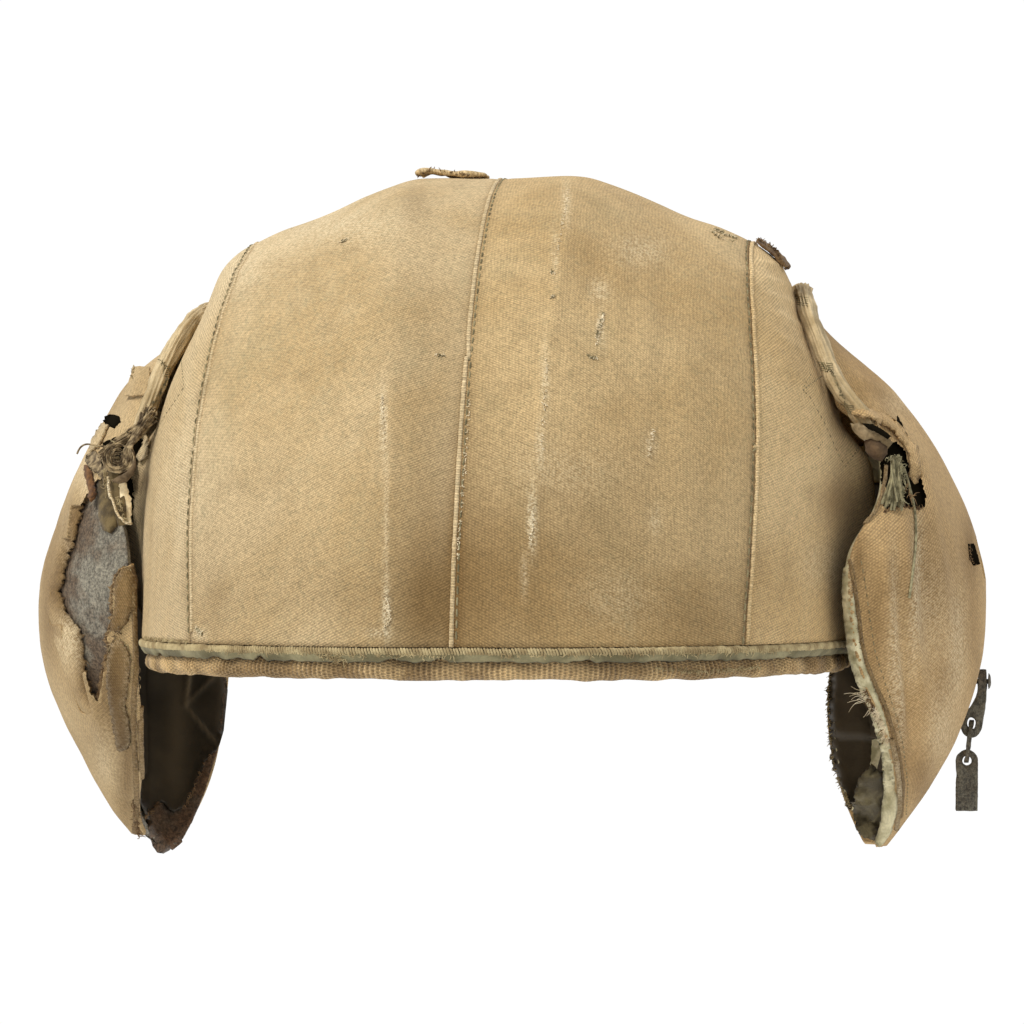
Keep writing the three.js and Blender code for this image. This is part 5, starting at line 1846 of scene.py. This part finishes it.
def round_ends(points, from_middle):
    """Draws the points near a roll's two ends in towards its middle line."""
    turn = (np.arctan2(from_middle[:, 1], from_middle[:, 0]) + math.pi / 2) % (2 * math.pi)
    stations = np.linspace(turn.min(), turn.max(), 40)
    middles = np.array([points[np.abs(turn - station) < 0.06].mean(axis=0) for station in stations])
    middle = np.stack([np.interp(turn, stations, middles[:, k]) for k in range(3)], axis=1)
    from_end = np.minimum(turn - turn.min(), turn.max() - turn)
    left = np.clip(1 - from_end / END_REACH, 0, 1)
    share = np.sqrt(np.clip(1 - left ** 2, 0.06, 1))
    return middle + (points - middle) * share[:, None]


ROLL_RELIEF = [(8, 0.5), (3, 0.25)]
PLEAT_RISE = 0.95  # millimetres
PINCH_REACH = 8  # pixels


def pleats_of(outs, from_middle):
    """Noise drawn out along a roll, as its pleats, with a number for each vertex."""
    radial = from_middle / np.linalg.norm(from_middle, axis=1, keepdims=True)
    turn = np.arctan2(outs[:, 0], (outs[:, 1:] * radial).sum(axis=1))
    way_along = np.arctan2(from_middle[:, 1], from_middle[:, 0]) * 3.2
    total = np.zeros(len(outs))
    for round_it, along_it in ((3.0, 0.6), (8.0, 1.6)):
        spots = np.stack([np.cos(turn) * round_it, np.sin(turn) * round_it, way_along * along_it], axis=1)
        total += 0.6 * np.array([noise.noise(Vector(spot)) for spot in spots])
    return total


def pinch_stitches(u, v, surface):
    """Five stitches side by side across a pinch."""
    routes = []
    for k in range(5):
        ends = [(u - 7, v - 4 + 2 * k), (u + 8, v - 2 + 2 * k)]
        places, _ = on_surface(ends, surface, 0.5 * MM, lift=0.1)
        routes.append([(place, 1) for place in places])
    return routes


def ear_roll(part):
    """A roll, pleated, pinched and rounded off at its ends."""
    piece = skin(part["node"], part["name"])
    points = points_of(piece)
    outs = normals_of(piece)
    pixels = pixels_of(points)
    from_middle = points[:, 1:] - ARCH_MIDDLE
    pleats = pleats_of(outs, from_middle)
    relief = PLEAT_RISE * pleats + crumple(points, ROLL_RELIEF)
    for pinch in part["pinches"]:
        from_pinch = np.linalg.norm(pixels - np.array(pinch), axis=1)
        relief -= np.exp(-((from_pinch / PINCH_REACH) ** 2))
    points = round_ends(points, from_middle)
    move_points(piece, points + outs * relief[:, None] * MM)
    # Painted shade darkens the hollows between the pleats.
    paint(piece, "crease", np.clip(0.3 - pleats * 2.0, 0, 1))
    settle(piece, roll_cloth)
    return piece


# %% The two rolls and their stitches
ROLL_DEPTH = -0.03
roll_routes = []
for part in rolls:
    part["surface"] = surface_of(ear_roll(part))
    for u, v in part["pinches"]:
        roll_routes += pinch_stitches(u, v, part["surface"])
right_pinches = [(160, 360), (172, 372), (150, 410), (158, 424)]
left_pinches = [(822, 364), (832, 372), (846, 404)]
roll_frays = fringes(
    (right_pinches, rolls[1]["surface"], ROLL_DEPTH, 60, 1.8, (-0.3, 0.9), 0.8),
    (left_pinches, rolls[0]["surface"], ROLL_DEPTH, 40, 1.2, (0.2, 0.8), 0.9),
)
threads("roll_stitches", roll_routes + roll_frays, 0.14 * MM, seam_thread)

# %% [markdown]
# ## The rim
#
# The rim is bound with a tape whose edge is overcast: a pale thread wraps round it, one slanting
# loop after another. Under it hangs a sweat band knitted in open ribs, with painted shade between
# its loops. Both follow the rim's outline, a rounded square with a flat brow.

# %% The rim's outline
RIM_POWER = 2.3
BINDING_INSET = 0.6 * MM
BINDING_RADIUS = 1.6 * MM
BROW_FLAT = 0.994
_, binding_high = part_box("rim_binding")
RIM_HALF_WIDTH = binding_high.x - BINDING_RADIUS * math.cos(math.pi / 6) + BINDING_INSET
RIM_HALF_LENGTH = (binding_high.y - BINDING_RADIUS + BINDING_INSET) / BROW_FLAT


def rounded(part, half):
    """A sine or cosine bent to a rounded square's, times half its side."""
    return np.sign(part) * np.abs(part) ** (2 / RIM_POWER) * half


def rim_outline(count):
    """Places evenly spaced round the rim, the way out of it at each, and its length."""
    fine = np.linspace(0, 2 * np.pi, 4001)[:-1]
    x = rounded(np.cos(fine), RIM_HALF_WIDTH)
    flat_reach = BROW_FLAT * RIM_HALF_LENGTH
    y = np.clip(rounded(np.sin(fine), RIM_HALF_LENGTH), -flat_reach, flat_reach)
    steps = np.hypot(np.roll(x, -1) - x, np.roll(y, -1) - y)
    reached = np.concatenate([[0], np.cumsum(steps)])
    wanted = np.arange(count) / count * reached[-1]
    x = np.interp(wanted, reached, np.append(x, x[0]))
    y = np.interp(wanted, reached, np.append(y, y[0]))
    way = np.stack([np.roll(x, -3) - np.roll(x, 3), np.roll(y, -3) - np.roll(y, 3)], axis=1)
    way /= np.linalg.norm(way, axis=1, keepdims=True)
    return np.stack([x, y], axis=1), np.stack([way[:, 1], -way[:, 0]], axis=1), reached[-1]


def ring(name, count, profile, shift):
    """A closed band round the rim. shift moves a station's corner out and up, in millimetres."""
    places, outs, length = rim_outline(count)
    sides = len(profile)
    depth = distances(profile)
    vertices = []
    faces = []
    for i, (place, out) in enumerate(zip(places, outs)):
        for k, (reach, rise) in enumerate(profile):
            extra_out, extra_up = shift(i / count, i, k)
            step = (reach + extra_out) * MM
            vertices.append((place[0] + out[0] * step, place[1] + out[1] * step, (rise + extra_up) * MM))
            a = i * sides + k
            b = i * sides + (k + 1) % sides
            faces.append((a, (a + sides) % (count * sides), (b + sides) % (count * sides), b))
    piece = new_piece(name, vertices, faces)
    stations = np.arange(len(vertices)) // sides
    lay_map(piece, stations / count * length, depth[np.arange(len(vertices)) % sides] * MM)
    print(name, "goes round", round(length / MM), "mm in", count, "stations")
    return piece


def round_noise(share, turns, offset):
    """Noise that closes on itself round the rim. share is how far round, from 0 to 1."""
    angle = 2 * math.pi * share
    return noise.noise(Vector((math.cos(angle) * turns, math.sin(angle) * turns, offset)))


# %% Sweat band
RIB_COUNT = 470
RIB_STEPS = 5
RIB_DEPTH = 0.3
band_profile = [
    (-7.2, 7.2), (-4.4, 2.0), (-4.2, -0.6), (-3.7, -2.2), (-2.9, -3.4), (-2.1, -4.4), (-1.6, -5.3),
    (-1.3, -6.2), (-1.3, -7.1), (-1.6, -8.0), (-2.5, -8.8), (-3.9, -9.3), (-5.8, -8.8), (-8.0, -7.4),
    (-10.4, 7.2),
]


def band_shift(share, i, k):
    """The band's ribs and loops push it out, and it sags unevenly."""
    sag = 0.75 * round_noise(share, 7, 0) + 0.35 * round_noise(share, 24, 5)
    phase = 2 * math.pi * (i % RIB_STEPS) / RIB_STEPS
    rib = i // RIB_STEPS
    loops = 0.13 * math.cos(2.6 * k + 1.1 * rib)
    outer = 1 if 2 < k < 12 else 0
    return outer * (RIB_DEPTH * math.cos(phase) + loops), sag * outer


band = ring("knitted_sweat_band", RIB_COUNT * RIB_STEPS, band_profile, band_shift)
settle(band, knit_wool)
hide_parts("sweat_band")

# %% Tape and overcast edge
random.seed(4)
OVERCAST_PITCH = 0.86 * MM
TAPE_STATIONS = 900
tape_profile = [(-0.9, -1.0), (0.5, -1.5), (0.45, -2.6), (-0.5, -3.9), (-1.4, -4.3), (-1.3, -2.8)]


def tape_shift(share, i, k):
    """The tape waves, and its lower edge is slack here and there."""
    lower = 1 if k > 1 else 0.25
    slack = max(0.0, round_noise(share, 18, 3) - 0.12) * 3.2
    return 0.5 * round_noise(share, 20, 9) * lower, (slack + 0.5 * round_noise(share, 40, 2)) * lower


tape = ring("rim_tape", TAPE_STATIONS, tape_profile, tape_shift)
settle(tape, tape_cloth)

_, _, rim_length = rim_outline(100)
loop_count = int(rim_length / OVERCAST_PITCH)
loop_places, loop_outs, _ = rim_outline(loop_count)
loop_path = [(-1.0, -0.7, -0.6), (0.35, -0.15, -0.25), (0.95, -1.0, 0.15), (0.3, -2.0, 0.5)]


def overcast_loop(i):
    """One slanting loop of the pale thread round the rim's edge."""
    place, out = loop_places[i], loop_outs[i]
    slant = loop_places[(i + 1) % loop_count] - place
    jitter = random.uniform(-0.14, 0.14)
    thick = random.uniform(0.8, 1.1)
    route = []
    for reach, rise, forward in loop_path:
        flat = place + out * (reach * MM) + slant * forward
        route.append((Vector((flat[0], flat[1], (rise + jitter) * MM)), thick))
    return route


overcast_routes = [overcast_loop(i) for i in range(loop_count)]
overcast = threads("overcast_binding", overcast_routes, 0.42 * MM, pale_thread, ["rim_binding"])

# %% Worn threads on the rim
random.seed(5)
RIM_END_DEPTH = -0.08
rim_surface = surface_of(band, tape, overcast)
rim_frays = fringes(
    ([(205, 650), (340, 655), (455, 656)], rim_surface, None, 110, 2.0, (0, 0.6), 1.2),
    ([(500, 656), (700, 654), (800, 650)], rim_surface, None, 130, 2.0, (0, 0.6), 1.2),
    ([(655, 668), (700, 672), (760, 668)], rim_surface, None, 110, 2.2, (0, 0.5), 1.2),
    ([(318, 655), (345, 660)], rim_surface, None, 50, 2.6, (0, 0.5), 1.2),
)
rim_end = [(138, 637), (160, 640), (188, 642)]
rim_frays += fringe(rim_end, crown_surface, RIM_END_DEPTH, 130, 1.3, (0, 0.8), 0.9)
threads("rim_frays", rim_frays, 0.13 * MM, pale_thread)

# %% [markdown]
# ## Seams
#
# The panels are joined by felled seams: one edge is folded over the other and stitched down, so a
# narrow raised fold runs beside each row of stitches. The fold is a ribbon laid on the crown, and
# each stitch is a short arched thread that dips into the cloth at both ends.

# %% Folds and stitches of the seams
random.seed(6)
seam_finishes = [
    {"fold": -0.35, "stitch": 1.0, "wide": 1.25, "cloth": right_twill},
    {"fold": 0.9, "stitch": -0.7, "wide": 1.2, "cloth": side_left_twill},
    {"fold": 0.9, "stitch": -0.7, "wide": 1.2, "cloth": side_right_twill},
]
ABOVE_CROWN = 0.02


def on_crown(route, spacing, shift):
    """A seam's route brought onto the crown's skin and moved shift millimetres to one side."""
    places = []
    outs = []
    fine = [a.lerp(b, t / 4) for a, b in zip(route, route[1:]) for t in range(4)]
    for i, rough in enumerate(fine):
        way = fine[min(i + 1, len(fine) - 1)] - fine[max(i - 1, 0)]
        out = (rough - Vector(CROWN_MIDDLE)).normalized()
        start = rough + way.cross(out).normalized() * (shift * MM) + out * ABOVE_CROWN
        place, _, _, _ = crown_surface.ray_cast(start, -out, 2 * ABOVE_CROWN)
        if place is not None:
            places.append(place)
            outs.append(out)
    return evenly(places, outs, spacing)


seam_stitches = []
for seam, finish in zip(seams, seam_finishes):
    places, outs = on_crown(seam["route"], 0.8 * MM, finish["fold"])
    name = seam["name"] + "_fold"
    ribbon(name, places, outs, finish["wide"], 0.5, finish["cloth"], 0.12, 0.1)
    places, outs = on_crown(seam["route"], 0.4 * MM, finish["stitch"])
    seam_stitches += stitched(places, outs, 2.4, 0.8, 0.3)
threads("seam_stitches", seam_stitches, 0.3 * MM, seam_thread)

# %% Darts in the crown
random.seed(7)
dart_routes = [
    [
        (811, 374), (805, 384), (802, 391), (808, 394), (816, 408), (825, 424), (832, 440), (838, 454),
        (845, 467),
    ],
    [(830, 369), (822, 376), (812, 383), (803, 391)],
    [(818, 449), (821, 444), (824, 440)],
    [(845, 467), (853, 456), (860, 445)],
    [(181, 349), (182, 368), (184, 387)],
    [(184, 387), (176, 400), (166, 414), (153, 437)],
]
dart_stitches = []
for route in dart_routes:
    places, outs = on_surface(route, crown_surface, 0.4 * MM)
    dart_stitches += stitched(places, outs, 1.5, 0.7, 0.18)
threads("dart_stitches", dart_stitches, 0.17 * MM, seam_thread)

# %% Small tears and worn threads
small_tears = named_rows(
    "route count",
    ([(341, 243), (345, 241), (349, 240)], 26),
    ([(551, 272), (554, 274)], 14),
    ([(551, 298), (555, 296)], 16),
    ([(588, 356), (598, 360)], 26),
    ([(596, 338), (601, 322), (604, 312)], 50),
    ([(714, 229), (724, 235), (736, 238)], 70),
    ([(712, 232), (722, 240), (734, 242)], 30),
    ([(436, 355), (446, 356)], 14),
    ([(196, 628), (203, 634)], 40),
)
tear_routes = []
pale_routes = []
for small in small_tears:
    tear_routes += fringe(small["route"], crown_surface, None, small["count"] // 2, 1.1, (0.6, 0.3), 0.9)
    pale_routes += fringe(small["route"], crown_surface, None, small["count"] // 2, 1.1, (0.3, 0.6), 0.9)
worn_routes = named_rows(
    "route count",
    ([(382, 396), (384, 442)], 40),
    ([(386, 594), (390, 620), (380, 634)], 55),
    ([(534, 506), (530, 546)], 40),
    ([(547, 356), (541, 460)], 35),
    ([(603, 316), (596, 346)], 24),
    ([(569, 190), (558, 250)], 40),
    ([(653, 430), (648, 458)], 26),
    ([(470, 400), (458, 560)], 60),
)
for worn in worn_routes:
    pale_routes += fringe(worn["route"], crown_surface, None, worn["count"], 1.1, (0, 0.6), 1.6)
threads("crown_tear_threads", tear_routes, 0.13 * MM, seam_thread)
threads("crown_worn_threads", pale_routes, 0.13 * MM, fray_thread)

# %% Torn tab and frayed lip
random.seed(8)
TAB_DEPTH = 0.0
LIP_FRONT = -0.005
crown_flag, points = rough_skin("crown_tab", "torn_tab_on_top", 0.3, [(8, 0.9), (3, 0.5)])
paint(crown_flag, "wear_and_sheen", np.full(len(points), 0.2))
tab_shadow = [{"u": 450, "v": 181, "wide": 40, "tall": 2.5, "strength": 0.9}]
paint(crown_flag, "grime_and_shade", blots(pixels_of(points), tab_shadow))
lay_map(crown_flag, points[:, 0], points[:, 1])
settle(crown_flag, left_twill)
lip, _ = rough_skin("seam_lip_left", "frayed_seam_lip", 0.3, [(5, 0.8), (2, 0.4)])
settle(lip, rusty_cloth)
lip_edge = [(748, 238), (760, 240), (775, 250), (789, 274)]
tab_edge = [(418, 176), (432, 169), (450, 172), (488, 179)]
lip_routes = fringes(
    (lip_edge, surface_of(lip), LIP_FRONT, 160, 1.2, (0.5, -0.3), 1.0),
    (tab_edge, surface_of(crown_flag), TAB_DEPTH, 50, 0.9, (0, -0.4), 1.0),
)
threads("lip_and_tab_frays", lip_routes, 0.13 * MM, rusty_cloth)

# %% [markdown]
# ## Strap steel
#
# The strap's bar, link and hook are forged steel, pitted and nearly black. Their own solids are
# right, so they are only softened, pitted and given a rusty finish.

# %% Strap hardware
hardware = named_rows(
    "node crease",
    ("strap_rivet", 0.5),
    ("strap_bar", 0.55),
    ("strap_link", 0.4),
    ("strap_hook", 0.55),
)
STEEL_PITS = [(5, 0.3), (1.6, 0.16)]
for part in hardware:
    piece, _ = rough_skin(part["node"], part["node"] + "_rusted", part["crease"], STEEL_PITS)
    settle(piece, strap_steel)

# %% [markdown]
# ## Cloth cut flat
#
# Every larger piece of cloth was once cut flat and is now stretched over plates and pads.

# %% [markdown]
#
# The dressed helmet may stand a little proud of the solids. Both boxes are measured, and how far
# it stands out along each axis is printed.

# %% Sizes and the end
visual_box = [list(corner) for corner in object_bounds()]
for axis in range(3):
    proud = [round((visual_box[end][axis] - cad_box[end][axis]) / MM, 1) for end in (0, 1)]
    print("The dressed helmet stands", proud, "mm from the solids along", "XYZ"[axis])
